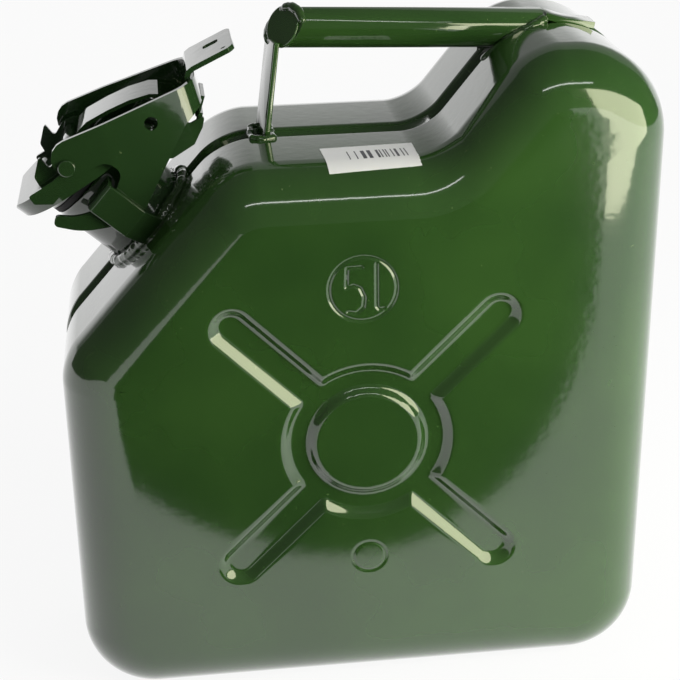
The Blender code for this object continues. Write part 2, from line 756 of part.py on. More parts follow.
def cap_carrier(closure, material):
    reach = CARRIER_HALF + OVERRUN
    low, high = -OVERRUN, EAR_APEX + OVERRUN
    item = piece("cap_carrier", prism_out(carrier_plan(0.0), low, high), closure, material)
    meet(item, piece("carrier_side", prism_across(carrier_side(), -reach, reach), closure))
    hollow = piece("carrier_hollow", prism_out(carrier_plan(CARRIER_SHEET), low, high), closure)
    side = piece("carrier_hollow_side", prism_across(carrier_hollow(), -reach, reach), closure)
    cut(item, meet(hollow, side))
    for label, side in (("front", -1.0), ("back", 1.0)):
        join(item, piece("carrier_ear_" + label, carrier_ear(side), closure))
    tail = [(TAIL_LEG_X, TAIL_LEG), (TAIL_FOOT_X, TAIL_FOOT), (TAIL_BEND_X, TAIL_BEND),
            (TAIL_END_X, TAIL_END)]
    inner = CARRIER_HALF - CARRIER_SHEET / 2.0
    plate = piece("carrier_tail", strip(tail, CARRIER_SHEET, [inner] * len(tail)), closure)
    slot = [(NOSE_X, 0.0), (TAIL_SLOT_X, 0.0), (TAIL_SLOT_X, EAR_APEX), (NOSE_X, EAR_APEX)]
    cut(plate, piece("tail_slot", prism_across(slot, -TAIL_SLOT_HALF, TAIL_SLOT_HALF), closure))
    join(item, plate)
    lip = [(TAIL_BEND_X, TAIL_BEND), (TAIL_END_X, TAIL_END), (TAIL_LIP_X, TAIL_LIP)]
    join(item, piece("tail_lip", strip(lip, CARRIER_SHEET, [LIP_HALF] * len(lip)), closure))
    for name, radius, x, z in (("pivot_hole", PIVOT_RADIUS + GAP, PIVOT_X, PIVOT_OUT),
                               ("hinge_hole", HINGE_PIN_RADIUS + GAP, HINGE_X, HINGE_OUT),
                               ("lock_hole", LOCK_HOLE_RADIUS, LOCK_HOLE_X, LOCK_HOLE_OUT)):
        cut(item, piece("carrier_" + name, cross_rod(radius, x, z, -reach, reach), closure))
    hole = piece("carrier_rivet_hole", rod(RIVET_RADIUS + GAP, 0.0, EAR_APEX, 16), closure)
    hole.location = (RIVET_X, 0.0, 0.0)
    return cut(item, hole)


def lever_cheek():
    """The side outline shared by both cheeks of the lever, with its hooked slot."""
    pivot = (PIVOT_X, PIVOT_OUT)
    reach = Vector((LEVER_END_X - PIVOT_X, LEVER_END_OUT - PIVOT_OUT))
    slope = math.atan2(reach.y, reach.x)
    tangent = slope + math.acos(LEVER_END_RADIUS / reach.length)
    top = Vector(pivot) + LEVER_END_RADIUS * Vector((math.cos(tangent), math.sin(tangent)))
    ahead = Vector((LEVER_END_X, LEVER_END_OUT)) - top
    past = Vector((LEVER_END_X, LEVER_END_OUT)) + ahead.normalized() * OVERRUN * 2.0
    points = [tuple(past)]
    points += arc(pivot, LEVER_END_RADIUS, tangent, END_STOP_ANGLE + 2.0 * math.pi, 12)
    inner, outer = SLOT_RADIUS - SLOT_HALF, SLOT_RADIUS + SLOT_HALF
    points += arc(pivot, inner, SLOT_MOUTH_ANGLE, SLOT_END_ANGLE, 5)
    centre = (PIVOT_X + SLOT_RADIUS * math.cos(SLOT_END_ANGLE),
              PIVOT_OUT + SLOT_RADIUS * math.sin(SLOT_END_ANGLE))
    points += arc(centre, SLOT_HALF, SLOT_END_ANGLE + math.pi, SLOT_END_ANGLE, 8)[1:-1]
    points += arc(pivot, outer, SLOT_END_ANGLE, BEAK_ANGLE, 12)
    for k in range(9):
        share = k / 8.0
        angle = BEAK_ANGLE + (HEEL_ANGLE - BEAK_ANGLE) * share
        radius = BEAK_REACH + (HEEL_REACH - BEAK_REACH) * share
        points.append((PIVOT_X + radius * math.cos(angle), PIVOT_OUT + radius * math.sin(angle)))
    points += [(TOE_X, TOE_OUT), (SOLE_X, SOLE_OUT), (WAIST_X, WAIST_OUT), (KNEE_X, KNEE_OUT),
               (LEVER_WEB_LOW_X, LEVER_WEB_LOW), (past.x, LEVER_WEB_LOW)]
    return points


def lever_plan(inset, lean):
    """The lever's outline from above at the neck's foot, open towards the nose."""
    half = LEVER_OUT - inset
    end = LEVER_END_X - lean * LEVER_END_OUT - inset * math.sqrt(1.0 + lean ** 2)
    start = -LEVER_END_X * 2.0 - inset
    return rounded([((start, -half), 0.0), ((end, -half), LEVER_BEND - inset),
                    ((end, half), LEVER_BEND - inset), ((start, half), 0.0)], 6)


def lever_tab():
    outline = rounded([((0.0, -TAB_HALF), 0.0), ((TAB_LENGTH, -TAB_HALF), TAB_CORNER),
                       ((TAB_LENGTH, TAB_HALF), TAB_CORNER), ((0.0, TAB_HALF), 0.0)], 4)
    return prism_out(outline, -LEVER_SHEET / 2.0, LEVER_SHEET / 2.0)


def lever(closure, material):
    lean = (LEVER_END_X - LEVER_WEB_LOW_X) / (LEVER_END_OUT - LEVER_WEB_LOW)
    low, high = -OVERRUN, EAR_APEX + OVERRUN
    reach = LEVER_OUT + OVERRUN
    item = piece("lever", prism_out(lever_plan(0.0, lean), low, high, lean), closure, material)
    meet(item, piece("lever_side", prism_across(lever_cheek(), -reach, reach), closure))
    inner = prism_out(lever_plan(LEVER_SHEET, lean), low * 2.0, high * 2.0, lean)
    cut(item, piece("lever_hollow", inner, closure))
    seat = empty("tab_seat", (TAB_ROOT_X, 0.0, TAB_ROOT_OUT), closure, -TAB_SLOPE)
    tab = piece("lever_tab", lever_tab(), seat)
    slot = rounded([((-TAB_SLOT_HALF_WIDTH, -TAB_SLOT_HALF_LENGTH), TAB_SLOT_HALF_WIDTH),
                    ((TAB_SLOT_HALF_WIDTH, -TAB_SLOT_HALF_LENGTH), TAB_SLOT_HALF_WIDTH),
                    ((TAB_SLOT_HALF_WIDTH, TAB_SLOT_HALF_LENGTH), TAB_SLOT_HALF_WIDTH),
                    ((-TAB_SLOT_HALF_WIDTH, TAB_SLOT_HALF_LENGTH), TAB_SLOT_HALF_WIDTH)], 3)
    hole = piece("tab_slot", prism_out(slot, -LEVER_SHEET, LEVER_SHEET), seat)
    hole.location = (TAB_SLOT_X, 0.0, 0.0)
    join(item, cut(tab, hole))
    for name, radius, x, z in (("pivot_hole", PIVOT_RADIUS + GAP, PIVOT_X, PIVOT_OUT),
                               ("lock_hole", LOCK_HOLE_RADIUS, LOCK_HOLE_X, LOCK_HOLE_OUT)):
        cut(item, piece("lever_" + name, cross_rod(radius, x, z, -reach, reach), closure))
    return item


def grip_axis(x):
    """Height of the grip's axis at a distance along the can."""
    share = (x - GRIP_FRONT_X) / (GRIP_REAR_X - GRIP_FRONT_X)
    return GRIP_FRONT_HEIGHT + (GRIP_REAR_HEIGHT - GRIP_FRONT_HEIGHT) * share


def grip_path(extra):
    return [(x, 0.0, grip_axis(x)) for x in (GRIP_FRONT_X - extra, GRIP_REAR_X + extra)]


def solid_grip(clearance):
    """The grip as a filled bar, grown by a clearance."""
    rings = []
    for point in grip_path(clearance):
        ring = []
        for k in range(GRIP_SIDES):
            angle = 2.0 * math.pi * k / GRIP_SIDES
            radius = GRIP_RADIUS + clearance
            ring.append((point[0], radius * math.cos(angle), point[2] + radius * math.sin(angle)))
        rings.append(ring)
    return loft(rings)


def post_strip(clearance):
    """The handle post: a strip that leans up and folds over the end of the grip."""
    over = GRIP_RADIUS + GAP + POST_SHEET / 2.0
    foot = Vector((POST_FOOT_X, POST_FOOT_HEIGHT - clearance))
    knee = Vector((POST_KNEE_X, grip_axis(POST_KNEE_X) + over))
    end = Vector((POST_OVER_X + clearance, grip_axis(POST_OVER_X) + over))
    bend = rounded([(tuple(foot), 0.0), (tuple(knee), POST_BEND), (tuple(end), 0.0)], 6)
    start = bend.index(tuple(foot))
    path = bend[start:] + bend[:start]
    halves = []
    for i in range(len(path)):
        share = min(1.0, i / 2.0)
        halves.append(POST_HALF_WIDTH + (POST_TOP_HALF_WIDTH - POST_HALF_WIDTH) * share + clearance)
    return strip(path, POST_SHEET + clearance * 2.0, halves)


def bead(path, normal, looped=False):
    """A rippled weld bead along a path."""
    rings = []
    last = len(path) - 1
    for i, point in enumerate(path):
        if looped:
            along = Vector(path[(i + 1) % len(path)]) - Vector(path[i - 1])
        else:
            along = Vector(path[min(i + 1, last)]) - Vector(path[max(i - 1, 0)])
        lift = along.normalized().cross(normal).normalized()
        side = lift.cross(along).normalized()
        swell = 1.0 + WELD_RIPPLE_SHARE * math.cos(2.0 * math.pi * i / 3.0)
        if not looped and i in (0, last):
            swell = swell / 2.0
        ring = []
        for k in range(WELD_SIDES):
            angle = 2.0 * math.pi * k / WELD_SIDES
            spoke = side * math.cos(angle) + lift * math.sin(angle)
            ring.append(Vector(point) + spoke * WELD_RADIUS * swell)
        rings.append(ring)
    return loft(rings, looped=looped)


def mirrored(points):
    """A path on the front side, carried on round to the back."""
    return points + [(x, -y, z) for x, y, z in reversed(points[:-1])]


def front_weld_path():
    top = GRIP_RADIUS - FRONT_WELD_SINK
    half = FRONT_WELD_HALF
    points = [(FRONT_WELD_START_X, -half, grip_axis(FRONT_WELD_START_X) + top - FRONT_WELD_SINK),
              (FRONT_WELD_TURN_X, -half, grip_axis(FRONT_WELD_TURN_X) + top - FRONT_WELD_SINK),
              (FRONT_WELD_TIP_X, -half / 2.0, grip_axis(FRONT_WELD_TIP_X) + top + FRONT_WELD_SINK),
              (FRONT_WELD_TIP_X, 0.0, grip_axis(FRONT_WELD_TIP_X) + GRIP_RADIUS + FRONT_WELD_SINK)]
    return smooth_path(mirrored(points), WELD_STEPS)


def foot_weld_path():
    """A loop round the foot of the post that dips into the seam on both sides."""
    corners = []
    for x, y in ((-1.0, -1.0), (1.0, -1.0), (1.0, 1.0), (-1.0, 1.0)):
        corners.append(((x * FOOT_WELD_REACH, y * FOOT_WELD_HALF), FOOT_WELD_CORNER))
    plan = rounded(corners, 4)
    path = []
    for i, point in enumerate(plan):
        here, there = Vector(point), Vector(plan[(i + 1) % len(plan)])
        count = max(1, round((there - here).length / FOOT_WELD_PITCH))
        for k in range(count):
            x, y = here.lerp(there, k / count)
            share = min(1.0, max(0.0, (abs(y) - FOOT_WELD_INNER) / (FOOT_WELD_HALF - FOOT_WELD_INNER)))
            rise = (1.0 - math.cos(math.pi * share)) / 2.0
            height = FOOT_WELD_DIP + (FOOT_WELD_HEIGHT - FOOT_WELD_DIP) * rise
            path.append((POST_FOOT_X + x, y, height))
    return path


def rear_weld_path():
    corners = []
    for run, half, drop in REAR_WELD_ROUTE:
        corners.append((RISE_TOP_X + run, -half, HUMP_HEIGHT - drop))
    return smooth_path(mirrored(corners), WELD_STEPS)


def build_body(root, closure):
    """The two halves, the seam between them and the neck with its fittings."""
    hole = piece("neck_hole", rod(NECK_RADIUS + GAP, -SEAM_DEPTH * 2.0, NECK_LENGTH), closure)
    shell("front_shell", -1.0, root, finish("front_shell_enamel", BODY_GREEN, 0.3, 0.0), hole)
    shell("back_shell", 1.0, root, finish("back_shell_enamel", BODY_GREEN, 0.3, 0.0), hole)
    seam = piece("seam_weld", seam_weld(), root, finish("seam_enamel", BODY_GREEN, 0.3, 0.0))
    cut(seam, hole)
    piece("neck_tube", neck_tube(), closure, finish("neck_enamel", BODY_GREEN, 0.35, 0.0))
    ring = piece("neck_weld", neck_bead(), closure, finish("neck_weld_enamel", BODY_GREEN, 0.4, 0.0))
    cut(ring, piece("neck_weld_bed", whole_blank(GAP), root))
    barrel = piece("neck_barrel", rod(NECK_RADIUS + GAP, -SEAM_DEPTH, EAR_APEX), closure)
    for label, side in (("front", -1.0), ("back", 1.0)):
        enamel = finish(label + "_lug_enamel", BODY_GREEN, 0.35, 0.0)
        cut(piece(label + "_lug", lug(side), closure, enamel), barrel)
        enamel = finish(label + "_hinge_ear_enamel", BODY_GREEN, 0.35, 0.0)
        ear = piece("hinge_ear_" + label, hinge_ear(side), closure, enamel)
        cut(ear, barrel)
        bore = cross_rod(HINGE_PIN_RADIUS + GAP, HINGE_X, HINGE_OUT, -LEVER_OUT, LEVER_OUT)
        cut(ear, piece("hinge_ear_bore_" + label, bore, closure))


def build_breather(closure):
    """The air tube inside the neck and the clip that holds it."""
    enamel = finish("breather_enamel", BODY_GREEN, 0.5, 0.0)
    knee = (BREATHER_X, BREATHER_KNEE)
    bend = rounded([((BREATHER_X, BREATHER_TOP), 0.0), (knee, BREATHER_BEND),
                    ((BREATHER_END_X, BREATHER_KNEE), 0.0)], 6)
    path = [(x, 0.0, z) for x, z in bend]
    piece("breather_tube", sweep_tube(path, BREATHER_RADIUS, BREATHER_BORE, 16), closure, enamel)
    bore = BREATHER_RADIUS + GAP
    ring = turned([(bore, CLIP_LOW), (bore + CLIP_SHEET, CLIP_LOW),
                   (bore + CLIP_SHEET, CLIP_HIGH), (bore, CLIP_HIGH)], 20)
    enamel = finish("clip_enamel", BODY_GREEN, 0.5, 0.0)
    clip = piece("breather_clip", ring, closure, enamel)
    clip.location = (BREATHER_X, 0.0, 0.0)
    wall = NECK_RADIUS - NECK_WALL - GAP
    plate = [(BREATHER_X + bore + CLIP_SHEET / 2.0, -CLIP_HALF), (wall, -CLIP_HALF),
             (wall, CLIP_HALF), (BREATHER_X + bore + CLIP_SHEET / 2.0, CLIP_HALF)]
    foot = piece("clip_foot", prism_out(plate, CLIP_LOW, CLIP_HIGH), closure)
    meet(foot, piece("clip_limit", rod(wall, 0.0, NECK_LENGTH), closure))
    join(clip, foot)


def build_cap(closure):
    """Gasket, plate, carrier, rivet, sleeve and pins of the hinged cap."""
    low = NECK_LENGTH + GAP
    high = low + GASKET_THICK
    rubber = finish("gasket_rubber", DARK_RUBBER, 0.8, 0.0)
    ring = turned([(GASKET_BORE, low), (PLATE_RADIUS, low), (PLATE_RADIUS, high),
                   (GASKET_BORE, high)])
    piece("cap_gasket", ring, closure, rubber)
    plate = piece("cap_plate", cap_plate(), closure, finish("plate_enamel", BODY_GREEN, 0.4, 0.0))
    shank = piece("plate_rivet_hole", rod(RIVET_RADIUS + GAP, 0.0, EAR_APEX, 16), closure)
    shank.location = (RIVET_X, 0.0, 0.0)
    cut(plate, shank)
    cap_carrier(closure, finish("carrier_enamel", BODY_GREEN, 0.3, 0.0))
    floor = NECK_LENGTH + GAP * 2.0 + GASKET_THICK - PLATE_CUP_DEPTH - GAP
    top = CROWN_TOP + GAP
    steps = 16
    rings = []
    for radius, height in ((RIVET_HEAD_RADIUS, floor - RIVET_HEAD), (RIVET_HEAD_RADIUS, floor),
                           (RIVET_RADIUS, floor), (RIVET_RADIUS, top), (RIVET_HEAD_RADIUS, top),
                           (RIVET_HEAD_RADIUS, top + RIVET_HEAD / 2.0),
                           (RIVET_RADIUS, top + RIVET_HEAD)):
        rings.append([(radius * math.cos(2.0 * math.pi * k / steps),
                       radius * math.sin(2.0 * math.pi * k / steps), height)
                      for k in range(steps)])
    rivet = piece("cap_rivet", loft(rings), closure, finish("rivet_enamel", BODY_GREEN, 0.35, 0.0))
    rivet.location = (RIVET_X, 0.0, 0.0)
    pin = cross_rod(HINGE_PIN_RADIUS, HINGE_X, HINGE_OUT, -CARRIER_HALF, CARRIER_HALF)
    piece("hinge_pin", pin, closure, finish("hinge_pin_enamel", BODY_GREEN, 0.35, 0.0))
    inner = CARRIER_HALF - CARRIER_SHEET - GAP
    sleeve = []
    for radius, y in ((SLEEVE_RADIUS, -inner), (SLEEVE_RADIUS, inner),
                      (PIVOT_RADIUS + GAP, inner), (PIVOT_RADIUS + GAP, -inner)):
        sleeve.append([(PIVOT_X + radius * math.cos(2.0 * math.pi * k / steps), y,
                        PIVOT_OUT + radius * math.sin(2.0 * math.pi * k / steps))
                       for k in range(steps)])
    enamel = finish("sleeve_enamel", BODY_GREEN, 0.35, 0.0)
    piece("pivot_sleeve", loft(sleeve, looped=True), closure, enamel)
    outer = LEVER_OUT + GAP
    pin = []
    for radius, y in ((PIVOT_RADIUS, -outer - PIVOT_HEAD), (PIVOT_HEAD_RADIUS, -outer - PIVOT_HEAD / 2.0),
                      (PIVOT_HEAD_RADIUS, -outer), (PIVOT_RADIUS, -outer), (PIVOT_RADIUS, outer),
                      (PIVOT_HEAD_RADIUS, outer), (PIVOT_HEAD_RADIUS, outer + PIVOT_HEAD / 2.0),
                      (PIVOT_RADIUS, outer + PIVOT_HEAD)):
        pin.append([(PIVOT_X + radius * math.cos(2.0 * math.pi * k / steps), y,
                     PIVOT_OUT + radius * math.sin(2.0 * math.pi * k / steps))
                    for k in range(steps)])
    piece("lever_pin", loft(pin), closure, finish("lever_pin_enamel", BODY_GREEN, 0.35, 0.0))


def build_handle(root):
    """The tubular grip, its folded post, the rear tongue and their weld beads."""
    bed = piece("handle_bed", whole_blank(GAP), root)
    bar = piece("grip_clearance", solid_grip(GAP), root)
    enamel = finish("grip_enamel", BODY_GREEN, 0.25, 0.0)
    tube = sweep_tube(grip_path(0.0), GRIP_RADIUS, GRIP_RADIUS - GRIP_WALL, GRIP_SIDES)
    cut(piece("handle_tube", tube, root, enamel), bed)
    enamel = finish("post_enamel", BODY_GREEN, 0.3, 0.0)
    cut(piece("handle_post", post_strip(0.0), root, enamel), bed)
    grown = piece("post_clearance", post_strip(GAP), root)
    tongue_path = [(TONGUE_START_X, TONGUE_START_HEIGHT), (TONGUE_BEND_X, TONGUE_BEND_HEIGHT),
                   (TONGUE_END_X, TONGUE_END_HEIGHT)]
    widths = [TONGUE_HALF_WIDTH] * len(tongue_path)
    enamel = finish("tongue_enamel", BODY_GREEN, 0.3, 0.0)
    cut(piece("handle_tongue", strip(tongue_path, TONGUE_SHEET, widths), root, enamel), bed)
    outward = Vector((0.0, 0.0, 1.0))
    slanted = Vector(REAR_WELD_NORMAL)
    for name, path, normal, looped in (
            ("handle_front_weld", front_weld_path(), outward, False),
            ("handle_rear_weld", rear_weld_path(), slanted, False),
            ("post_foot_weld", foot_weld_path(), outward, True)):
        enamel = finish(name + "_enamel", BODY_GREEN, 0.4, 0.0)
        item = piece(name, bead(path, normal, looped), root, enamel)
        cut(item, bed)
        cut(item, bar)
        cut(item, grown)


def main():
    clear_scene()
    root = empty("jerry_can", (CENTRE_SHIFT, 0.0, 0.0))
    closure = empty("closure", (NECK_X, 0.0, NECK_Z), root, -SHOULDER_ANGLE)
    build_body(root, closure)
    build_breather(closure)
    build_cap(closure)
    lever(closure, finish("lever_enamel", BODY_GREEN, 0.3, 0.0))
    build_handle(root)


main()
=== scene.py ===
import math

import bmesh
import bpy
from mathutils import Matrix, Vector, noise


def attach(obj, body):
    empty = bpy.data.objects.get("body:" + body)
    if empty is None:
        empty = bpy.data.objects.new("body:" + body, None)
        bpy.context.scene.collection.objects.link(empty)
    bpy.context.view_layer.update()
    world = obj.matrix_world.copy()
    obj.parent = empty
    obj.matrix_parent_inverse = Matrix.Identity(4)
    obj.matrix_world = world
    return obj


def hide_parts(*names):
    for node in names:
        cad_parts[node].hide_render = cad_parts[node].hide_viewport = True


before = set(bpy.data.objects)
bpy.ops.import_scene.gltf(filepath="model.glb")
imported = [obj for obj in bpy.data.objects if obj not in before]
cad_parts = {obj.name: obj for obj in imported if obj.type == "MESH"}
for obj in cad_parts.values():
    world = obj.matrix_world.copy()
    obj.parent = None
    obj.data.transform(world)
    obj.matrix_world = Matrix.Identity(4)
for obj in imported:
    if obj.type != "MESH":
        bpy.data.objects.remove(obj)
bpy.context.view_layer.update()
print("frame loaded:", len(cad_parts), "nodes")

# The pieces' dictionaries are in millimetres and degrees, the studio's are in metres

mm = 0.001
centreShift = 6.76 * mm  # from the middle of the body, where the outlines start, to the frame's origin
sameSpot = 1e-6  # metres, closer points count as one
cutSlack = 1e-7  # metres, a point this close to a cut lies on it
flatAngle = 1.0  # flatter bends are taken out of a cut piece
sharpAngle = 40.0  # steeper bends stay sharp on a piece without soft edges
allSmooth = 180.0  # no bend stays sharp, because softEdges rounds them
roundSteps = {"fewest": 4, "most": 16, "radiusEach": 1.5}

# Helpers shared by all the pieces


def looseObject(name, bm):
    bmesh.ops.recalc_face_normals(bm, faces=bm.faces)
    mesh = bpy.data.meshes.new(name)
    bm.to_mesh(mesh)
    bm.free()
    item = bpy.data.objects.new(name, mesh)
    bpy.context.scene.collection.objects.link(item)
    return item


def dropObject(item):
    mesh = item.data
    bpy.data.objects.remove(item, do_unlink=True)
    bpy.data.meshes.remove(mesh)


def keepPiece(name, bm, body, paint, angle=sharpAngle, stands=()):
    bmesh.ops.remove_doubles(bm, verts=bm.verts, dist=sameSpot)
    piece = looseObject(name, bm)
    mesh = piece.data
    mesh.materials.append(paint)
    mesh.shade_smooth()
    mesh.set_sharp_from_angle(angle=math.radians(angle))
    if body:
        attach(piece, body)
        if stands:
            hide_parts(*stands)
    return piece


def softEdges(piece, width, angle=30.0):
    # the small radius that bent and stamped sheet has on every edge
    step = piece.modifiers.new("softEdges", "BEVEL")
    step.width = width * mm
    step.segments = 2
    step.limit_method = "ANGLE"
    step.angle_limit = math.radians(angle)
    step.use_clamp_overlap = True
    step.harden_normals = True


def bakeShape(item):
    bm = bmesh.new()
    bm.from_object(item, bpy.context.evaluated_depsgraph_get())
    dropObject(item)
    return bm


def carve(target, tool, operation="DIFFERENCE"):
    # target and tool are bmeshes, the result is a new one
    base = looseObject("carveTarget", target)
    cutter = looseObject("carveTool", tool)
    step = base.modifiers.new("carve", "BOOLEAN")
    step.operation = operation
    step.solver = "EXACT"
    step.object = cutter
    bpy.context.view_layer.update()
    result = bakeShape(base)
    dropObject(cutter)
    return result


def roundOff(bm, parts, width, segments, affect="EDGES", clamp=False):
    bmesh.ops.bevel(bm, geom=parts, offset=width, offset_type="OFFSET", segments=segments, profile=0.5,
                    affect=affect, material=-1, clamp_overlap=clamp)


def pushFace(bm, face, run, keep=True):
    # the face grows along the run, and is kept behind as the other end or not
    grown = bmesh.ops.extrude_face_region(bm, geom=[face], use_keep_orig=keep)
    fresh = [v for v in grown["geom"] if isinstance(v, bmesh.types.BMVert)]
    bmesh.ops.translate(bm, verts=fresh, vec=run)


def turnMesh(bm, degrees, axis, centre=(0.0, 0.0, 0.0)):
    bmesh.ops.rotate(bm, verts=bm.verts, cent=centre, matrix=Matrix.Rotation(math.radians(degrees), 3, axis))


def outlineFace(bm, corners, level=0.0, plan=False):
    # corners are ((x, z), radius), or ((x, y), radius) in plan, rounded one by one
    if plan:
        points = [Vector((x, y, level)) * mm for (x, y), radius in corners]
    else:
        points = [Vector((x, level, z)) * mm for (x, z), radius in corners]
    verts = [bm.verts.new(point) for point in points]
    bm.faces.new(verts)
    for i, (corner, radius) in enumerate(corners):
        if radius <= 0.0:
            continue
        back = points[i - 1] - points[i]
        ahead = points[(i + 1) % len(points)] - points[i]
        run = radius * mm / math.tan(back.angle(ahead) / 2.0)
        vert = min(bm.verts, key=lambda v: (v.co - points[i]).length)
        steps = max(roundSteps["fewest"], int(radius / roundSteps["radiusEach"]))
        roundOff(bm, [vert], run, min(roundSteps["most"], steps), "VERTICES")
    bm.faces.ensure_lookup_table()
    return bm.faces[0]


def boxCorners(left, right, low, high, radius=0.0):
    return [((left, low), radius), ((right, low), radius), ((right, high), radius), ((left, high), radius)]


def slab(corners, low, high, plan=False, lean=0.0):
    # an outline given a thickness across the can, or upwards in plan, where it may lean along X
    bm = bmesh.new()
    face = outlineFace(bm, corners, low, plan)
    rise = (high - low) * mm
    pushFace(bm, face, (lean * rise, 0.0, rise) if plan else (0.0, rise, 0.0))
    if plan and lean:
        bmesh.ops.translate(bm, verts=bm.verts, vec=(lean * low * mm, 0.0, 0.0))
    return bm


def roundBar(radius, length, sides):
    bm = bmesh.new()
    bmesh.ops.create_cone(bm, cap_ends=True, segments=sides, radius1=radius * mm, radius2=radius * mm,
                          depth=length * mm)
    return bm


def pin(radius, x, z, low, high, sides=24):
    # a round bar across the can
    bm = roundBar(radius, high - low, sides)
    turnMesh(bm, 90.0, "X")
    bmesh.ops.translate(bm, verts=bm.verts, vec=Vector((x, (low + high) / 2.0, z)) * mm)
    return bm


def strip(path, sheet, halves):
    # a bent strip: a path in X and Z of its outer face, and a half width at each point
    bm = bmesh.new()
    verts = [bm.verts.new((x * mm, 0.0, z * mm)) for x, z in path]
    edges = [bm.edges.new(pair) for pair in zip(verts, verts[1:])]
    grown = bmesh.ops.extrude_edge_only(bm, edges=edges)
    fresh = [v for v in grown["geom"] if isinstance(v, bmesh.types.BMVert)]
    spots = [Vector(spot) * mm for spot in path]
    for side, group in ((-1.0, verts), (1.0, fresh)):
        for vert in group:
            here = Vector((vert.co.x, vert.co.z))
            nearest = min(range(len(spots)), key=lambda i: (spots[i] - here).length)
            vert.co.y = side * halves[nearest] * mm
    bmesh.ops.recalc_face_normals(bm, faces=bm.faces)
    if sum(f.normal.z * f.calc_area() for f in bm.faces) > 0.0:
        bmesh.ops.reverse_faces(bm, faces=bm.faces)
    bmesh.ops.solidify(bm, geom=bm.faces[:], thickness=sheet * mm)
    return bm


def tidyFlats(bm):
    bmesh.ops.remove_doubles(bm, verts=bm.verts, dist=2.0 * sameSpot)
    bmesh.ops.dissolve_degenerate(bm, dist=2.0 * sameSpot, edges=bm.edges)
    bmesh.ops.dissolve_limit(bm, angle_limit=math.radians(flatAngle), verts=bm.verts, edges=bm.edges)
    return bm


def nodeCopy(name):
    bm = bmesh.new()
    bm.from_mesh(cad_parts[name].data)
    return tidyFlats(bm)


# Helpers for the paints, each adds one node to the tree


def freshPaint(name):
    paint = bpy.data.materials.new(name)
    paint.use_nodes = True
    return paint, paint.node_tree


def plug(tree, socket, value):
    # a socket takes a plain value or another node's output
    if isinstance(value, (float, tuple)):
        socket.default_value = value
    else:
        tree.links.new(value, socket)


def mathNode(tree, operation, first, second=0.0):
    step = tree.nodes.new("ShaderNodeMath")
    step.operation = operation
    for socket, value in zip(step.inputs, (first, second)):
        plug(tree, socket, value)
    return step.outputs[0]


def mixNode(tree, share, first, second):
    blend = tree.nodes.new("ShaderNodeMix")
    blend.data_type = "RGBA"
    for name, value in (("Factor", share), ("A", first), ("B", second)):
        plug(tree, blend.inputs[name], value)
    return blend.outputs["Result"]


def rangeNode(tree, value, start, stop, low=0.0, high=1.0, ease="LINEAR"):
    step = tree.nodes.new("ShaderNodeMapRange")
    step.interpolation_type = ease
    for name, number in (("From Min", start), ("From Max", stop), ("To Min", low), ("To Max", high)):
        step.inputs[name].default_value = number
    tree.links.new(value, step.inputs["Value"])
    return step.outputs["Result"]


def grain(tree, where, scale, detail):
    cloud = tree.nodes.new("ShaderNodeTexNoise")
    cloud.inputs["Scale"].default_value = scale
    cloud.inputs["Detail"].default_value = detail
    tree.links.new(where.outputs["Object"], cloud.inputs["Vector"])
    return cloud.outputs["Fac"]


def bumpNode(tree, height, strength, distance):
    bump = tree.nodes.new("ShaderNodeBump")
    bump.inputs["Strength"].default_value = strength
    bump.inputs["Distance"].default_value = distance
    tree.links.new(height, bump.inputs["Height"])
    return bump


def splitNode(tree, place):
    split = tree.nodes.new("ShaderNodeSeparateXYZ")
    tree.links.new(place, split.inputs["Vector"])
    return split.outputs


# Paints

enamelLook = {"green": (0.030, 0.078, 0.016, 1.0), "deep": (0.020, 0.056, 0.012, 1.0), "roughness": 0.11,
              "ior": 1.55, "coat": 1.0, "coatRoughness": 0.05, "coatIor": 1.58,
              "cloud": 14.0, "cloudDetail": 3.0, "deepUpTo": 0.35, "greenFrom": 0.65,
              "peel": 260.0, "peelHeight": 0.035, "peelReach": 0.0006,
              "wave": 11.0, "waveHeight": 0.012, "waveReach": 0.004,
              "fleck": (0.10, 0.14, 0.06, 1.0), "fleckScale": 700.0, "fleckDetail": 2.0,
              "fleckShare": 0.735, "fleckBlur": 0.05}
weldLook = dict(enamelLook, roughness=0.16, peel=420.0, peelHeight=0.12, green=(0.026, 0.062, 0.014, 1.0))
closureLook = dict(enamelLook, green=(0.017, 0.044, 0.012, 1.0), deep=(0.012, 0.033, 0.010, 1.0))
# the seam bead's near-black green is painted shade: the dark of the deep seam groove, put into the bead's
# colour
seamShadeLook = dict(enamelLook, roughness=0.3, green=(0.004, 0.007, 0.003, 1.0), deep=(0.003, 0.005, 0.002, 1.0))
rubberLook = {"black": (0.006, 0.006, 0.006, 1.0), "grey": (0.0132, 0.0132, 0.0132, 1.0), "roughness": 0.75,
              "grain": 160.0, "grainDetail": 2.0}
paperLook = {"white": (0.80, 0.80, 0.80, 1.0), "ink": (0.05, 0.05, 0.06, 1.0), "roughness": 0.45,
             "bars": 84.0, "inkAbove": 0.52, "printed": (("X", 0.22, 0.80), ("Y", 0.34, 0.74))}


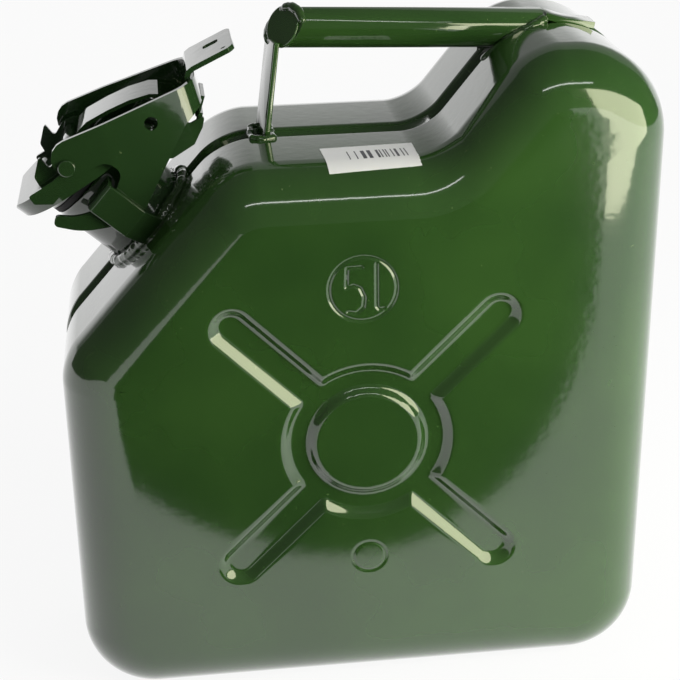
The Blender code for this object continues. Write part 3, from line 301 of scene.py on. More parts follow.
def enamel(name, look):
    # two greens in soft clouds with small flecks, under a clear coat with a fine and a slow ripple
    paint, tree = freshPaint(name)
    shader = tree.nodes["Principled BSDF"]
    shader.inputs["Roughness"].default_value = look["roughness"]
    shader.inputs["IOR"].default_value = look["ior"]
    shader.inputs["Coat Weight"].default_value = look["coat"]
    shader.inputs["Coat Roughness"].default_value = look["coatRoughness"]
    shader.inputs["Coat IOR"].default_value = look["coatIor"]
    where = tree.nodes.new("ShaderNodeTexCoord")
    tone = tree.nodes.new("ShaderNodeValToRGB")
    tone.color_ramp.elements[0].position = look["deepUpTo"]
    tone.color_ramp.elements[0].color = look["deep"]
    tone.color_ramp.elements[1].position = look["greenFrom"]
    tone.color_ramp.elements[1].color = look["green"]
    tree.links.new(grain(tree, where, look["cloud"], look["cloudDetail"]), tone.inputs["Fac"])
    speck = grain(tree, where, look["fleckScale"], look["fleckDetail"])
    worn = rangeNode(tree, speck, look["fleckShare"], look["fleckShare"] + look["fleckBlur"])
    tree.links.new(mixNode(tree, worn, tone.outputs["Color"], look["fleck"]), shader.inputs["Base Color"])
    peel = grain(tree, where, look["peel"], 1.0)
    wave = grain(tree, where, look["wave"], 1.0)
    fine = bumpNode(tree, peel, look["peelHeight"], look["peelReach"])
    slow = bumpNode(tree, wave, look["waveHeight"], look["waveReach"])
    tree.links.new(slow.outputs["Normal"], fine.inputs["Normal"])
    tree.links.new(fine.outputs["Normal"], shader.inputs["Normal"])
    tree.links.new(fine.outputs["Normal"], shader.inputs["Coat Normal"])
    return paint


def rubber(name, look):
    paint, tree = freshPaint(name)
    shader = tree.nodes["Principled BSDF"]
    shader.inputs["Roughness"].default_value = look["roughness"]
    where = tree.nodes.new("ShaderNodeTexCoord")
    cloud = grain(tree, where, look["grain"], look["grainDetail"])
    tree.links.new(mixNode(tree, cloud, look["black"], look["grey"]), shader.inputs["Base Color"])
    return paint


def paper(name, look):
    # a plain label: white paper with a row of bars, read from the sheet's own map
    paint, tree = freshPaint(name)
    shader = tree.nodes["Principled BSDF"]
    shader.inputs["Roughness"].default_value = look["roughness"]
    where = tree.nodes.new("ShaderNodeUVMap")
    where.uv_map = "sheetMap"
    sheet = splitNode(tree, where.outputs["UV"])
    bar = mathNode(tree, "FLOOR", mathNode(tree, "MULTIPLY", sheet["X"], look["bars"]))
    pick = tree.nodes.new("ShaderNodeTexWhiteNoise")
    pick.noise_dimensions = "1D"
    tree.links.new(bar, pick.inputs["W"])
    shown = mathNode(tree, "GREATER_THAN", pick.outputs["Value"], look["inkAbove"])
    for axis, low, high in look["printed"]:
        for edge, operation in ((low, "GREATER_THAN"), (high, "LESS_THAN")):
            side = mathNode(tree, operation, sheet[axis], edge)
            shown = mathNode(tree, "MULTIPLY", side, shown)
    tree.links.new(mixNode(tree, shown, look["white"], look["ink"]), shader.inputs["Base Color"])
    return paint


bodyPaint = enamel("bodyPaint", enamelLook)
closurePaint = enamel("closurePaint", closureLook)
weldPaint = enamel("weldPaint", weldLook)
seamShadePaint = enamel("seamShadePaint", seamShadeLook)
gasketPaint = rubber("gasketPaint", rubberLook)
labelPaint = paper("labelPaint", paperLook)
print("paint mixed")

# The two pressed halves, whose large face gets a grid fine enough for the cross, the ring and the mark

bodyShape = {
    "corners": [((-117.5, 0.0), 30.0), ((117.5, 0.0), 30.0), ((117.5, 265.6), 36.0), ((64.0, 265.6), 26.0),
                ((31.0, 225.0), 22.0), ((-50.7, 225.0), 28.0), ((-117.5, 150.0), 26.0)],
    "depth": 58.5, "faceRadius": 21.5, "faceSteps": 14,
    "seamLip": 5.2, "seamFloor": 2.4, "seamDepth": 4.5, "seamEdge": 1.0, "lipRound": 1.8, "lipSteps": 4,
    "gridX": (-98.0, 98.0, [(-66.0, 66.0, 0.9), (-15.5, 12.7, 0.5)]),
    "gridZ": (20.0, 246.0, [(46.0, 182.0, 0.9), (53.5, 71.0, 0.5), (165.5, 194.0, 0.5)]),
    "gridCoarse": 6.0, "sharp": 60.0,
}
crossPress = {"height": 114.2, "depth": 3.0, "disc": 20.0, "floorIn": 24.4, "floorOut": 29.5, "rim": 35.0,
              "armReach": 73.0, "armHalf": 9.5, "armFloor": 4.0}
markLine = {"x": -1.4, "height": 179.8, "radius": 13.0, "half": 0.9, "depth": 0.5, "margin": 1.2,
            "strokes": [[(-0.2, 8.9), (-6.0, 8.7), (-6.2, 0.8), (-3.6, 1.6), (-1.0, 0.4), (0.6, -3.4),
                         (0.2, -7.4), (-2.4, -9.8), (-5.8, -9.2)],
                        [(5.3, 9.9), (5.3, -7.4), (6.3, -8.8), (8.2, -8.4)]]}
stampRing = {"x": 0.4, "height": 62.3, "radius": 6.6, "half": 0.8, "depth": 0.35}


def ramp(value, low, high):
    share = min(1.0, max(0.0, (value - low) / (high - low)))
    return share * share * (3.0 - 2.0 * share)


def strokeReach(x, z):
    # distance to the nearest stroke of the capacity mark
    here = Vector((x - markLine["x"], z - markLine["height"]))
    nearest = abs(here.length - markLine["radius"])
    for stroke in markLine["strokes"]:
        for first, last in zip(stroke, stroke[1:]):
            start = Vector(first)
            along = Vector(last) - start
            share = min(1.0, max(0.0, (here - start).dot(along) / along.length_squared))
            nearest = min(nearest, (here - start - along * share).length)
    return nearest


def pressDepth(x, z):
    # millimetres that the sheet is pushed in at a point of the large face
    dx, dz = x, z - crossPress["height"]
    reach = math.hypot(dx, dz)
    ring = min(ramp(reach, crossPress["disc"], crossPress["floorIn"]),
               1.0 - ramp(reach, crossPress["floorOut"], crossPress["rim"]))
    along = abs(dx) * math.sqrt(0.5) + abs(dz) * math.sqrt(0.5)
    across = abs(abs(dx) - abs(dz)) * math.sqrt(0.5)
    if along > crossPress["armReach"]:
        across = math.hypot(across, along - crossPress["armReach"])
    arm = 1.0 - ramp(across, crossPress["armFloor"], crossPress["armHalf"])
    if reach < crossPress["floorIn"]:
        arm = 0.0
    press = crossPress["depth"] * max(ring, arm)
    margin = markLine["radius"] * markLine["margin"]
    if abs(z - markLine["height"]) < margin and abs(x - markLine["x"]) < margin:
        press += markLine["depth"] * (1.0 - ramp(strokeReach(x, z), 0.0, markLine["half"]))
    stamp = abs(math.hypot(x - stampRing["x"], z - stampRing["height"]) - stampRing["radius"])
    return press + stampRing["depth"] * (1.0 - ramp(stamp, 0.0, stampRing["half"]))


def gridLines(low, high, zones, coarse):
    # places of the cuts: zones are (start, stop, step), and each zone's start gets a cut of its own
    lines, here = [], low
    while here < high:
        step = coarse
        for start, stop, fine in zones:
            if start <= here < stop:
                step = min(step, fine)
        for start, stop, fine in zones:
            if here < start < here + step:
                step = start - here
        here += step
        lines.append(here)
    return lines


def liesAt(part, depth):
    # whether an edge or a face lies this far in front of the seam's middle
    return all(abs(v.co.y + depth * mm) < sameSpot for v in part.verts)


def pressHalf():
    shape = bodyShape
    depth, lip, groove, edge = shape["depth"], shape["seamLip"], shape["seamFloor"], shape["seamEdge"]
    bm = bmesh.new()
    rear = outlineFace(bm, shape["corners"], -lip)
    if rear.normal.y < 0.0:
        rear.normal_flip()
    pushFace(bm, rear, (0.0, (lip - depth) * mm, 0.0))
    bmesh.ops.recalc_face_normals(bm, faces=bm.faces)
    rim = [e for e in bm.edges if liesAt(e, depth)]
    roundOff(bm, rim, shape["faceRadius"] * mm, shape["faceSteps"])
    rear = max(bm.faces, key=lambda f: f.calc_center_median().y)
    bmesh.ops.inset_region(bm, faces=[rear], thickness=shape["seamDepth"] * mm, depth=0.0,
                           use_even_offset=True)
    bmesh.ops.translate(bm, verts=rear.verts, vec=(0.0, (lip - groove) * mm, 0.0))
    pushFace(bm, rear, (0.0, (groove - edge) * mm, 0.0), False)
    mouth = [f for f in bm.faces if liesAt(f, edge)]
    bmesh.ops.delete(bm, geom=mouth, context="FACES_ONLY")
    lips = []
    for level in (lip, groove):
        lips += [e for e in bm.edges if e.is_manifold and liesAt(e, level)]
    roundOff(bm, lips, shape["lipRound"] * mm, shape["lipSteps"], clamp=True)
    front = [f for f in bm.faces if liesAt(f, depth)]
    for axis, grid in ((Vector((1.0, 0.0, 0.0)), shape["gridX"]), (Vector((0.0, 0.0, 1.0)), shape["gridZ"])):
        for place in gridLines(*grid, shape["gridCoarse"]):
            flat = [f for f in front if f.is_valid]
            edges = set(e for f in flat for e in f.edges)
            verts = set(v for f in flat for v in f.verts)
            cut = bmesh.ops.bisect_plane(bm, geom=list(verts) + list(edges) + flat, dist=cutSlack,
                                         plane_co=axis * place * mm, plane_no=axis)
            front = [f for f in cut["geom"] if isinstance(f, bmesh.types.BMFace)]
    for vert in bm.verts:
        if abs(vert.co.y + depth * mm) < sameSpot:
            vert.co.y += pressDepth(vert.co.x / mm, vert.co.z / mm) * mm
    return bm


for name, node, side in (("frontHalf", "front_shell", 1.0), ("backHalf", "back_shell", -1.0)):
    half = pressHalf()
    if side < 0.0:
        bmesh.ops.scale(half, vec=(1.0, -1.0, 1.0), verts=half.verts)
    bmesh.ops.translate(half, vec=(centreShift, 0.0, 0.0), verts=half.verts)
    piece = keepPiece(name, half, "can", bodyPaint, bodyShape["sharp"], (node,))
    weight = piece.modifiers.new("evenShading", "WEIGHTED_NORMAL")
    weight.keep_sharp = True
    print(name, "faces", len(piece.data.polygons))

# The closure is drawn in its own axes: X up the shoulder, Z out along the neck

closurePlace = {"x": -72.931, "z": 192.45, "run": 66.8, "drop": 75.0}
closureAxes = (Matrix.Translation(Vector((closurePlace["x"], 0.0, closurePlace["z"])) * mm)
               @ Matrix.Rotation(-math.atan2(closurePlace["drop"], closurePlace["run"]), 4, "Y"))
pivotPlace = (3.4, 42.8)
pivotHole = 2.2
lockHole = (2.6, 36.1, 28.4)  # radius, x and z


def closurePiece(name, bm, body, stands, soft):
    bmesh.ops.transform(bm, matrix=closureAxes, verts=bm.verts)
    softEdges(keepPiece(name, tidyFlats(bm), body, closurePaint, allSmooth, stands), soft)


leverShape = {
    "sheet": 2.0, "span": 32.0,
    "cheek": [((64.0, 22.2), 0.0), ((4.33, 53.5), 7.4), ((-2.68, 41.61), 7.4), ((14.8, 32.5), 4.9),
              ((14.8, 25.4), 3.5), ((4.28, 21.54), 16.0), ((-8.6, 26.3), 16.0), ((-14.4, 34.6), 1.5),
              ((-18.2, 32.6), 1.8), ((-13.2, 22.8), 22.0), ((-4.0, 14.6), 22.0), ((8.0, 9.3), 8.0),
              ((15.0, 10.9), 0.0), ((43.5, 17.6), 4.0), ((53.2, 16.8), 0.0), ((64.0, 16.8), 0.0)],
    "lean": 0.6957, "leanSheet": 1.2, "end": 41.2, "endHalf": 22.6, "half": 28.4, "easeX": -5.2, "ease": 30.0,
    "bend": 12.0, "outside": (-70.0, -4.0, 58.0), "inside": (-90.0, -8.0, 62.0),
    "tab": [(50.6, 17.0), (52.7, 20.0), (54.4, 22.4), (56.1, 24.8), (57.2, 26.1), (58.6, 26.7), (60.2, 26.4),
            (74.2, 20.5), (75.4, 20.0), (76.2, 19.6)],
    "tabHalves": [13.6, 13.8, 14.0, 14.4, 14.8, 15.0, 15.0, 15.0, 14.0, 12.0],
    "tabSlot": (69.0, 22.4, 2.4, 3.0), "slotRound": 1.2, "slotReach": 6.0, "slotShift": 3.5,
    "tabEye": (73.4, -11.4, 0.9), "eyeHeight": 20.5, "eyeLength": 12.0, "eyeSides": 16,
}


def leverPlan(inset, reach):
    # the outline seen along the neck, whose leaning end wall takes more of the sheet when cut level
    shape = leverShape
    half, endHalf, bend = shape["half"] - inset, shape["endHalf"] - inset, shape["bend"] - inset
    end = shape["end"] - inset * shape["leanSheet"]
    return [((reach, -half), 0.0), ((shape["easeX"], -half), shape["ease"]), ((end, -endHalf), bend),
            ((end, endHalf), bend), ((shape["easeX"], half), shape["ease"]), ((reach, half), 0.0)]


def leverPiece():
    shape = leverShape
    span = shape["span"]
    form = slab(shape["cheek"], -span, span)
    for inset, (reach, low, high), operation in ((0.0, shape["outside"], "INTERSECT"),
                                                 (shape["sheet"], shape["inside"], "DIFFERENCE")):
        form = carve(form, slab(leverPlan(inset, reach), low, high, True, shape["lean"]), operation)
    form = carve(form, strip(shape["tab"], shape["sheet"], shape["tabHalves"]), "UNION")
    x, z, length, half = shape["tabSlot"]
    slot = slab(boxCorners(x - half, x + half, -length, length, shape["slotRound"]),
                z - shape["slotReach"], z + shape["slotReach"], True)
    bmesh.ops.translate(slot, verts=slot.verts, vec=(0.0, shape["slotShift"] * mm, 0.0))
    form = carve(form, slot)
    x, y, radius = shape["tabEye"]
    eye = roundBar(radius, shape["eyeLength"], shape["eyeSides"])
    bmesh.ops.translate(eye, verts=eye.verts, vec=Vector((x, y, shape["eyeHeight"])) * mm)
    form = carve(form, eye)
    form = carve(form, pin(*lockHole, -span, span))
    return carve(form, pin(pivotHole, *pivotPlace, -span, span))


closurePiece("leverArm", leverPiece(), "lever", ("lever",), 0.4)
print("lever made")

carrierShape = {
    "sheet": 1.5, "half": 26.0, "tailHalf": 20.5, "taperX": 6.0, "tailX": 44.0, "endX": 60.0,
    "noseX": -27.0, "noseRound": 20.0, "outside": (30.0, -4.0, 60.0), "inside": (34.0, -6.0, 64.0),
    "crown": [(-27.2, 43.6), (-25.6, 45.5), (-23.2, 46.8), (-12.0, 44.6), (-8.6, 39.5), (10.0, 39.5)],
    "crownRounds": [0.0, 1.2, 1.5, 3.0, 3.0, 0.0],
    "skirt": [(24.0, 34.0), (40.0, 30.0), (44.0, 24.0), (44.0, 16.0), (50.3, 13.6), (46.2, 11.3), (39.2, 9.6),
              (30.0, 12.8), (28.1, 15.0), (20.0, 27.7), (9.2, 30.3)],
    "skirtRound": 0.8, "skirtEnd": (-27.2, 41.2),
    "hollowStart": (-34.0, 42.0), "hollowRest": [(10.0, 60.0), (62.0, 60.0), (62.0, 0.0), (-34.0, 0.0)],
    "ear": [((-11.2, 38.8), 0.0), ((-10.2, 45.6), 0.0), ((-8.8, 49.0), 2.0), ((-1.0, 52.8), 0.8),
            ((-2.4, 46.6), 1.0), ((4.0, 47.6), 2.4), ((9.6, 45.0), 2.4), ((9.6, 37.6), 0.0)],
    "earSides": (21.2, 22.7),
    "fold": [((-16.4, 43.0), 0.0), ((-15.4, 46.7), 1.0), ((-5.0, 43.3), 1.5), ((9.6, 41.2), 0.0),
             ((9.6, 37.0), 0.0), ((-12.0, 37.6), 0.0)],
    "foldSides": (24.5, 26.0),
    "tail": [(30.0, 14.6), (39.2, 11.4), (46.2, 12.6), (50.3, 14.4)],
    "tailHalves": [22.0, 20.6, 19.6, 19.4], "tailSlot": (10.0, 46.5, 0.0, 50.0), "slotHalf": 15.2,
    "arch": [(7.5, 40.0), (10.0, 42.6), (13.0, 43.9), (17.4, 43.6), (25.8, 40.4), (33.8, 36.6), (40.5, 32.2),
             (42.0, 30.4), (41.4, 28.6)],
    "archHalf": 10.5,
    "lip": [(46.2, 12.6), (50.3, 14.4), (54.0, 16.0)], "lipHalf": 9.5,
    "sideHole": (2.8, 31.0, 26.0),
}


def carrierPlan(inset):
    shape = carrierShape
    half, tail, nose = shape["half"] - inset, shape["tailHalf"] - inset, shape["noseX"] + inset
    bend = shape["noseRound"] - inset
    return [((shape["endX"], -tail), 0.0), ((shape["tailX"], -tail), 0.0), ((shape["taperX"], -half), 0.0),
            ((nose, -half), bend), ((nose, half), bend), ((shape["taperX"], half), 0.0),
            ((shape["tailX"], tail), 0.0), ((shape["endX"], tail), 0.0)]


def carrierPiece():
    shape = carrierShape
    sheet = shape["sheet"]
    crown = list(zip(shape["crown"], shape["crownRounds"]))
    outer = crown + [(point, shape["skirtRound"]) for point in shape["skirt"]] + [(shape["skirtEnd"], 0.0)]
    inner = [(shape["hollowStart"], 0.0)] + [((x, z - sheet), radius) for (x, z), radius in crown[1:]]
    inner += [(point, 0.0) for point in shape["hollowRest"]]
    forms = []
    for outline, inset, (span, low, high) in ((outer, 0.0, shape["outside"]), (inner, sheet, shape["inside"])):
        forms.append(carve(slab(outline, -span, span), slab(carrierPlan(inset), low, high, True), "INTERSECT"))
    form = carve(*forms)
    for side in (-1.0, 1.0):
        for outline, places in ((shape["ear"], shape["earSides"]), (shape["fold"], shape["foldSides"])):
            low, high = sorted(side * place for place in places)
            form = carve(form, slab(outline, low, high), "UNION")
    tail = strip(shape["tail"], sheet, shape["tailHalves"])
    slot = slab(boxCorners(*shape["tailSlot"]), -shape["slotHalf"], shape["slotHalf"])
    form = carve(form, carve(tail, slot), "UNION")
    for path, half in ((shape["arch"], shape["archHalf"]), (shape["lip"], shape["lipHalf"])):
        form = carve(form, strip(path, sheet, [half] * len(path)), "UNION")
    span = shape["inside"][0]
    for hole in ((pivotHole, *pivotPlace), shape["sideHole"], lockHole):
        form = carve(form, pin(*hole, -span, span))
    return form


closurePiece("capCarrier", carrierPiece(), "cap", ("cap_carrier",), 0.35)
print("cap carrier made")

lugShape = {"low": -4.0, "high": 8.6,
            "profile": [((19.6, 27.4), 0.0), ((31.4, 27.4), 1.6), ((31.4, 9.4), 1.4), ((26.6, 2.8), 1.0),
                        ((24.6, 0.6), 0.0), ((22.9, 1.9), 0.0), ((25.0, 4.6), 0.8), ((29.4, 10.2), 1.0),
                        ((29.4, 25.4), 0.8), ((19.6, 25.4), 0.0)]}


def lugPiece(side):
    # the profile runs out from the neck in Y and Z, and the lug is as long as its stamping
    bm = slab(lugShape["profile"], lugShape["low"], lugShape["high"])
    turnMesh(bm, 90.0, "Z")
    bmesh.ops.scale(bm, verts=bm.verts, vec=(-1.0, side, 1.0))
    return bm


for name, side, node in (("nearLug", -1.0, "front_lug"), ("farLug", 1.0, "back_lug")):
    closurePiece(name, lugPiece(side), "can", (node,), 0.4)
print("lugs made")

# The grip's front end is shut by an oval plate that leans towards the viewer, on top of the post

endShape = {"place": (-17.2, 0.0, 267.0), "radius": 8.4, "sheet": 1.8, "turn": 37.0, "tip": 24.0, "sides": 40,
            "soft": 0.6}
endAxes = (Matrix.Translation(Vector(endShape["place"]) * mm)
           @ Matrix.Rotation(math.radians(endShape["turn"]), 4, "Z")
           @ Matrix.Rotation(math.radians(endShape["tip"] - 90.0), 4, "Y"))
endNormal = endAxes.to_3x3() @ Vector((0.0, 0.0, 1.0))
endPlate = roundBar(endShape["radius"], endShape["sheet"], endShape["sides"])
bmesh.ops.transform(endPlate, matrix=endAxes, verts=endPlate.verts)
softEdges(keepPiece("gripEndPlate", endPlate, "can", bodyPaint, allSmooth), endShape["soft"])

# Turned and bent pieces whose frame shape is right get soft edges and paint

handleFit = {"openEnd": -14.0, "postFoot": (-27.2, 0.0, 225.0), "postTurn": 10.0, "postTop": 262.0}


def fitTube(form):
    # the grip's open end meets the leaning plate
    middle = endAxes.translation
    for vert in form.verts:
        if vert.co.x < handleFit["openEnd"] * mm:
            gap = vert.co - middle
            vert.co.x = middle.x - (gap.y * endNormal.y + gap.z * endNormal.z) / endNormal.x


def fitPost(form):
    # the post stands a little turned, and stops under the plate
    turnMesh(form, handleFit["postTurn"], "Z", Vector(handleFit["postFoot"]) * mm)
    bmesh.ops.bisect_plane(form, geom=form.verts[:] + form.edges[:] + form.faces[:], clear_outer=True,
                           plane_co=(0.0, 0.0, handleFit["postTop"] * mm), plane_no=(0.0, 0.0, 1.0))
    bmesh.ops.holes_fill(form, edges=[e for e in form.edges if e.is_boundary])


refinedAngle = 35.0  # the frame's round pieces have facets, which bend less than this
refined = [
    ("neckTube", "neck_tube", "can", closurePaint, 0.5),
    ("breatherPipe", "breather_tube", "can", closurePaint, 0.0),
    ("breatherSaddle", "breather_clip", "can", closurePaint, 0.25),
    ("nearHingeEar", "hinge_ear_front", "can", closurePaint, 0.3),
    ("farHingeEar", "hinge_ear_back", "can", closurePaint, 0.3),
    ("hingePin", "hinge_pin", "can", closurePaint, 0.4),
    ("handleTube", "handle_tube", "can", bodyPaint, 0.35),
    ("handlePost", "handle_post", "can", bodyPaint, 0.7),
    ("handleTongue", "handle_tongue", "can", bodyPaint, 0.6),
    ("seamBead", "seam_weld", "can", seamShadePaint, 0.0),
    ("capPlate", "cap_plate", "cap", closurePaint, 0.25),
    ("capGasket", "cap_gasket", "cap", gasketPaint, 0.4),
    ("capRivet", "cap_rivet", "cap", closurePaint, 0.3),
    ("pivotSleeve", "pivot_sleeve", "cap", closurePaint, 0.3),
]
for name, node, body, paint, soft in refined:
    form = nodeCopy(node)
    if node == "handle_tube":
        fitTube(form)
    if node == "handle_post":
        fitPost(form)
    piece = keepPiece(name, form, body, paint, allSmooth if soft else sharpAngle, (node,))
    if soft:
        softEdges(piece, soft, refinedAngle)
print("frame pieces refined")

pinShape = {"radius": 1.9, "half": 29.0, "headRadius": 3.3, "head": 0.9, "sides": 32}


def pinPiece():
    shape = pinShape
    form = pin(shape["radius"], *pivotPlace, -shape["half"], shape["half"], shape["sides"])
    for side in (-1.0, 1.0):
        ends = sorted((side * shape["half"], side * (shape["half"] + shape["head"])))
        form = carve(form, pin(shape["headRadius"], *pivotPlace, *ends, shape["sides"]), "UNION")
    return form


closurePiece("leverPin", pinPiece(), "cap", ("lever_pin",), 0.5)

# Hand-laid weld beads: overlapping lumps along a path, run together

weldShape = {"pitch": 1.5, "wander": 0.35, "wanderScale": 0.31, "swell": 0.30, "swellScale": 0.43,
             "swellPlace": (7.0, 3.0, 5.0), "voxel": 0.45, "ease": 0.5, "easeRounds": 3, "sharp": 80.0}
neckRing = {"radius": 22.0, "height": 0.9, "steps": 40}


def neckPath():
    # a closed ring round the foot of the neck
    path = []
    for k in range(neckRing["steps"] + 1):
        turn = 2.0 * math.pi * k / neckRing["steps"]
        spot = Vector((neckRing["radius"] * math.cos(turn), neckRing["radius"] * math.sin(turn),
                       neckRing["height"])) * mm
        path.append((closureAxes @ spot) / mm)
    return path


def weldBead(name, node, radius, path):
    shape = weldShape
    lumps = bmesh.new()
    for first, last in zip(path, path[1:]):
        start, stop = Vector(first), Vector(last)
        count = max(1, round((stop - start).length / shape["pitch"]))
        for k in range(count):
            place = start.lerp(stop, k / count)
            drift = noise.noise_vector(place * shape["wanderScale"]) * shape["wander"]
            swell = noise.noise(place * shape["swellScale"] + Vector(shape["swellPlace"]))
            size = radius * (1.0 + shape["swell"] * swell)
            fresh = bmesh.ops.create_icosphere(lumps, subdivisions=2, radius=size * mm)["verts"]
            bmesh.ops.translate(lumps, verts=fresh, vec=(place + drift) * mm)
    item = looseObject("lumps", lumps)
    melt = item.modifiers.new("melt", "REMESH")
    melt.mode = "VOXEL"
    melt.voxel_size = shape["voxel"] * mm
    ease = item.modifiers.new("ease", "SMOOTH")
    ease.factor = shape["ease"]
    ease.iterations = shape["easeRounds"]
    bpy.context.view_layer.update()
    keepPiece(name, bakeShape(item), "can", weldPaint, shape["sharp"], (node,))


weldList = [
    ("neckWeld", "neck_weld", 2.5, neckPath()),
    ("frontHandleWeld", "handle_front_weld", 1.9,
     [(-10.4, -5.6, 270.6), (-11.4, -3.0, 273.2), (-13.4, 0.0, 274.4), (-15.6, 3.0, 273.8),
      (-17.4, 5.2, 271.8)]),
    ("rearHandleWeld", "handle_rear_weld", 1.9,
     [(61.0, -6.0, 252.6), (64.5, -8.0, 256.0), (71.0, -8.6, 261.0), (79.0, -8.0, 264.8), (84.0, -5.6, 266.4),
      (84.6, 0.0, 267.4), (84.0, 5.6, 266.4), (79.0, 8.0, 264.8), (71.0, 8.6, 261.0), (64.5, 8.0, 256.0),
      (61.0, 6.0, 252.6)]),
    ("postFootWeld", "post_foot_weld", 1.6,
     [(-31.2, -8.0, 225.2), (-27.2, -9.6, 225.2), (-23.2, -8.0, 225.2), (-23.0, 0.0, 223.4),
      (-23.2, 8.0, 225.2), (-27.2, 9.6, 225.2), (-31.2, 8.0, 225.2), (-31.4, 0.0, 223.4),
      (-31.2, -8.0, 225.2)]),
]
for bead in weldList:
    weldBead(*bead)
print("welds laid")

# The plain label on the near half of the top, bent over the rounded edge of the large face

labelShape = {"middle": (7.4, -35.6), "length": 40.5, "width": 23.0, "turn": 3.2, "lift": 0.15, "thick": 0.12,
              "flatEdge": 37.0, "round": 21.5, "top": 225.0, "columns": 24, "rows": 20, "sharp": 50.0}


def labelPiece():
    shape = labelShape
    bm = bmesh.new()
    bm.loops.layers.uv.new("sheetMap")
    bmesh.ops.create_grid(bm, x_segments=shape["columns"], y_segments=shape["rows"], size=0.5, calc_uvs=True)
    bmesh.ops.scale(bm, verts=bm.verts, vec=(shape["length"], shape["width"], 1.0))
    turnMesh(bm, shape["turn"], "Z")
    radius = shape["round"]
    for vert in bm.verts:
        x, y = vert.co.x + shape["middle"][0], vert.co.y + shape["middle"][1]
        z = shape["top"] + shape["lift"]
        past = -y - shape["flatEdge"]
        if past > 0.0:
            angle = past / radius
            y = -shape["flatEdge"] - (radius + shape["lift"]) * math.sin(angle)
            z = shape["top"] - radius + (radius + shape["lift"]) * math.cos(angle)
        vert.co = Vector((x, y, z)) * mm
    bmesh.ops.translate(bm, verts=bm.verts, vec=(centreShift, 0.0, 0.0))
    bmesh.ops.recalc_face_normals(bm, faces=bm.faces)
    if sum(f.normal.z for f in bm.faces) < 0.0:
        bmesh.ops.reverse_faces(bm, faces=bm.faces)
    bmesh.ops.solidify(bm, geom=bm.faces[:], thickness=shape["thick"] * mm)
    return bm


keepPiece("plainLabel", labelPiece(), "can", labelPaint, labelShape["sharp"])
print("label laid")

# Floor, backdrop, light and camera

# dark is a painted dark reflection, which the floor shows only to rays that are not the camera's
stageLook = {"size": 6.0, "white": (0.92, 0.92, 0.92, 1.0), "dark": (0.010, 0.011, 0.010, 1.0), "glow": 0.90,
             "roughness": 0.8, "seenWhite": (1.0, 1.0, 1.0, 1.0), "air": (0.07, 0.07, 0.07, 1.0),
             "darkStart": 0.152, "darkBow": 7.4, "darkMiddle": 0.012, "darkBlur": 0.018,
             "wallPlace": 1.7, "wallHeight": 2.6, "wallLow": 1.0, "wallHigh": 0.24, "wallFade": (0.50, 0.85)}


def floorPaint(look):
    # white in the view; in reflections only, white up to a dark patch in front of the can, a painted dark
    # reflection that stands for the dark room and the photographer behind the camera
    paint, tree = freshPaint("floorPaint")
    shader = tree.nodes["Principled BSDF"]
    shader.inputs["Roughness"].default_value = look["roughness"]
    spot = splitNode(tree, tree.nodes.new("ShaderNodeTexCoord").outputs["Object"])
    side = mathNode(tree, "SUBTRACT", spot["X"], look["darkMiddle"])
    bow = mathNode(tree, "MULTIPLY", mathNode(tree, "MULTIPLY", side, side), look["darkBow"])
    ahead = mathNode(tree, "MULTIPLY", spot["Y"], -1.0)
    past = mathNode(tree, "SUBTRACT", mathNode(tree, "SUBTRACT", ahead, bow), look["darkStart"])
    # painted dark reflection: a bow-shaped dark patch on the floor, hidden from camera rays
    reflectedDarkPatch = rangeNode(tree, past, 0.0, look["darkBlur"], ease="SMOOTHSTEP")
    path = tree.nodes.new("ShaderNodeLightPath")
    unseen = mathNode(tree, "SUBTRACT", 1.0, path.outputs["Is Camera Ray"])
    darkness = mathNode(tree, "MULTIPLY", reflectedDarkPatch, unseen)
    tree.links.new(mixNode(tree, darkness, look["white"], look["dark"]), shader.inputs["Base Color"])
    glow = tree.nodes.new("ShaderNodeEmission")
    tree.links.new(mixNode(tree, darkness, look["seenWhite"], look["dark"]), glow.inputs["Color"])
    seen = mathNode(tree, "MAXIMUM", path.outputs["Is Camera Ray"], path.outputs["Is Glossy Ray"])
    blend = tree.nodes.new("ShaderNodeMixShader")
    tree.links.new(mathNode(tree, "MULTIPLY", seen, look["glow"]), blend.inputs["Fac"])
    tree.links.new(shader.outputs["BSDF"], blend.inputs[1])
    tree.links.new(glow.outputs["Emission"], blend.inputs[2])
    tree.links.new(blend.outputs["Shader"], tree.nodes["Material Output"].inputs["Surface"])
    return paint


def wallPaint(look):
    # a white backdrop that is bright at its foot and fades above the can
    paint, tree = freshPaint("wallPaint")
    tree.nodes.remove(tree.nodes["Principled BSDF"])
    spot = splitNode(tree, tree.nodes.new("ShaderNodeTexCoord").outputs["Object"])
    fade = rangeNode(tree, spot["Z"], *look["wallFade"], look["wallLow"], look["wallHigh"])
    path = tree.nodes.new("ShaderNodeLightPath")
    glow = tree.nodes.new("ShaderNodeEmission")
    tree.links.new(mathNode(tree, "MAXIMUM", fade, path.outputs["Is Camera Ray"]), glow.inputs["Strength"])
    tree.links.new(glow.outputs["Emission"], tree.nodes["Material Output"].inputs["Surface"])
    return paint


floorMesh = bmesh.new()
bmesh.ops.create_grid(floorMesh, x_segments=1, y_segments=1, size=stageLook["size"] / 2.0)
keepPiece("studioFloor", floorMesh, None, floorPaint(stageLook))
wallMesh = bmesh.new()
bmesh.ops.create_grid(wallMesh, x_segments=1, y_segments=1, size=0.5)
bmesh.ops.scale(wallMesh, verts=wallMesh.verts, vec=(stageLook["size"], stageLook["wallHeight"], 1.0))
turnMesh(wallMesh, 90.0, "X")
bmesh.ops.translate(wallMesh, verts=wallMesh.verts,
                    vec=(0.0, stageLook["wallPlace"], stageLook["wallHeight"] / 2.0))
wallPiece = keepPiece("studioWall", wallMesh, None, wallPaint(stageLook))
wallPiece.visible_camera = False

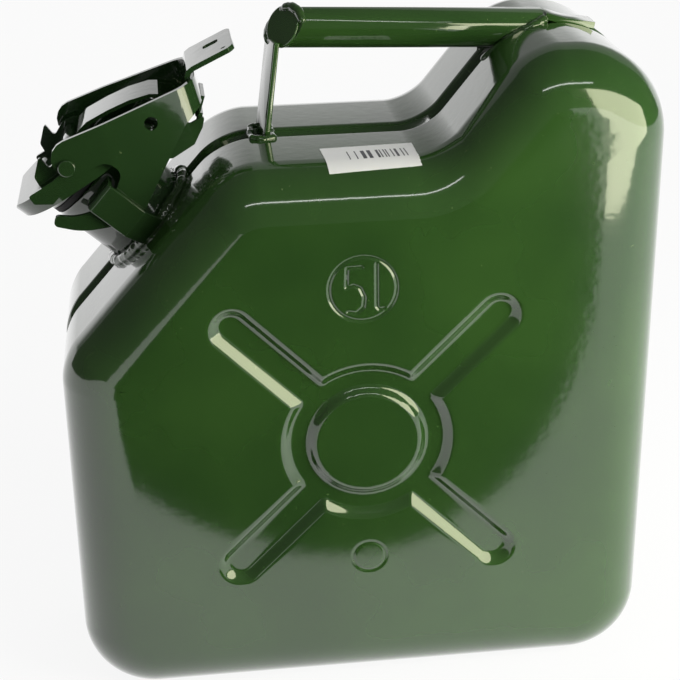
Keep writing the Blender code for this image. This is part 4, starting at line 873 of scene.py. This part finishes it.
world = bpy.data.worlds.new("studioAir")
bpy.context.scene.world = world
world.use_nodes = True
air = world.node_tree
path = air.nodes.new("ShaderNodeLightPath")
airTone = mixNode(air, path.outputs["Is Camera Ray"], stageLook["air"], stageLook["seenWhite"])
air.links.new(airTone, air.nodes["Background"].inputs["Color"])

# name, place, aim, width, height, watts, colour, seen in reflections
neutral = (1.0, 1.0, 1.0)
warm = (1.0, 1.0, 0.70)
lampList = [
    ("frontStrip", (0.03, -0.95, 1.10), (0.0, 0.0, 0.15), 1.05, 0.045, 1.0, neutral, True),
    ("rightBox", (0.64, -0.36, 0.265), (0.64, 0.0, 0.265), 0.90, 0.35, 4.6, warm, True),
    ("faceFill", (0.42, -0.62, 0.42), (0.0, 0.0, 0.13), 0.5, 0.5, 1.3, neutral, False),
    ("rightFill", (0.62, -0.42, 0.42), (0.05, 0.0, 0.13), 0.5, 0.5, 4.4, neutral, False),
    ("topFill", (-0.30, 0.10, 1.30), (0.0, 0.0, 0.15), 1.0, 1.0, 2.0, neutral, False),
    ("leftFill", (-0.95, -0.45, 0.60), (0.0, 0.0, 0.13), 0.7, 0.7, 0.5, neutral, False),
    ("backFill", (0.20, 1.20, 0.90), (0.0, 0.0, 0.13), 0.9, 0.9, 4.0, neutral, False),
]
for name, place, target, width, height, power, colour, shines in lampList:
    lamp = bpy.data.lights.new(name, "AREA")
    lamp.shape = "RECTANGLE"
    lamp.size = width
    lamp.size_y = height
    lamp.energy = power
    lamp.color = colour
    holder = bpy.data.objects.new(name, lamp)
    holder.location = place
    holder.rotation_euler = (Vector(target) - Vector(place)).to_track_quat("-Z", "Y").to_euler()
    holder.visible_camera = False
    holder.visible_glossy = shines
    bpy.context.scene.collection.objects.link(holder)

# the lens and the sensor are in millimetres, as the place is, and the near clip is in metres
photoCamera = {
    "place": (-66.521, -610.652, 408.570),
    "right": (0.99275473, -0.11933959, -0.01400375),
    "up": (0.06152621, 0.40476189, 0.9123499),
    "ahead": (0.10321128, 0.90660128, -0.4091718),
    "lens": 84.55, "sensor": 36.0, "nearClip": 0.01,
}
cameraData = bpy.data.cameras.new("photoCamera")
cameraData.lens = photoCamera["lens"]
cameraData.sensor_width = photoCamera["sensor"]
cameraData.clip_start = photoCamera["nearClip"]
camera = bpy.data.objects.new("photoCamera", cameraData)
axes = Matrix((photoCamera["right"], photoCamera["up"], -Vector(photoCamera["ahead"]))).transposed()
camera.matrix_world = Matrix.Translation(Vector(photoCamera["place"]) * mm) @ axes.to_4x4()
bpy.context.scene.collection.objects.link(camera)
bpy.context.scene.camera = camera
bpy.context.scene.view_settings.view_transform = "Standard"
print("light and camera set")
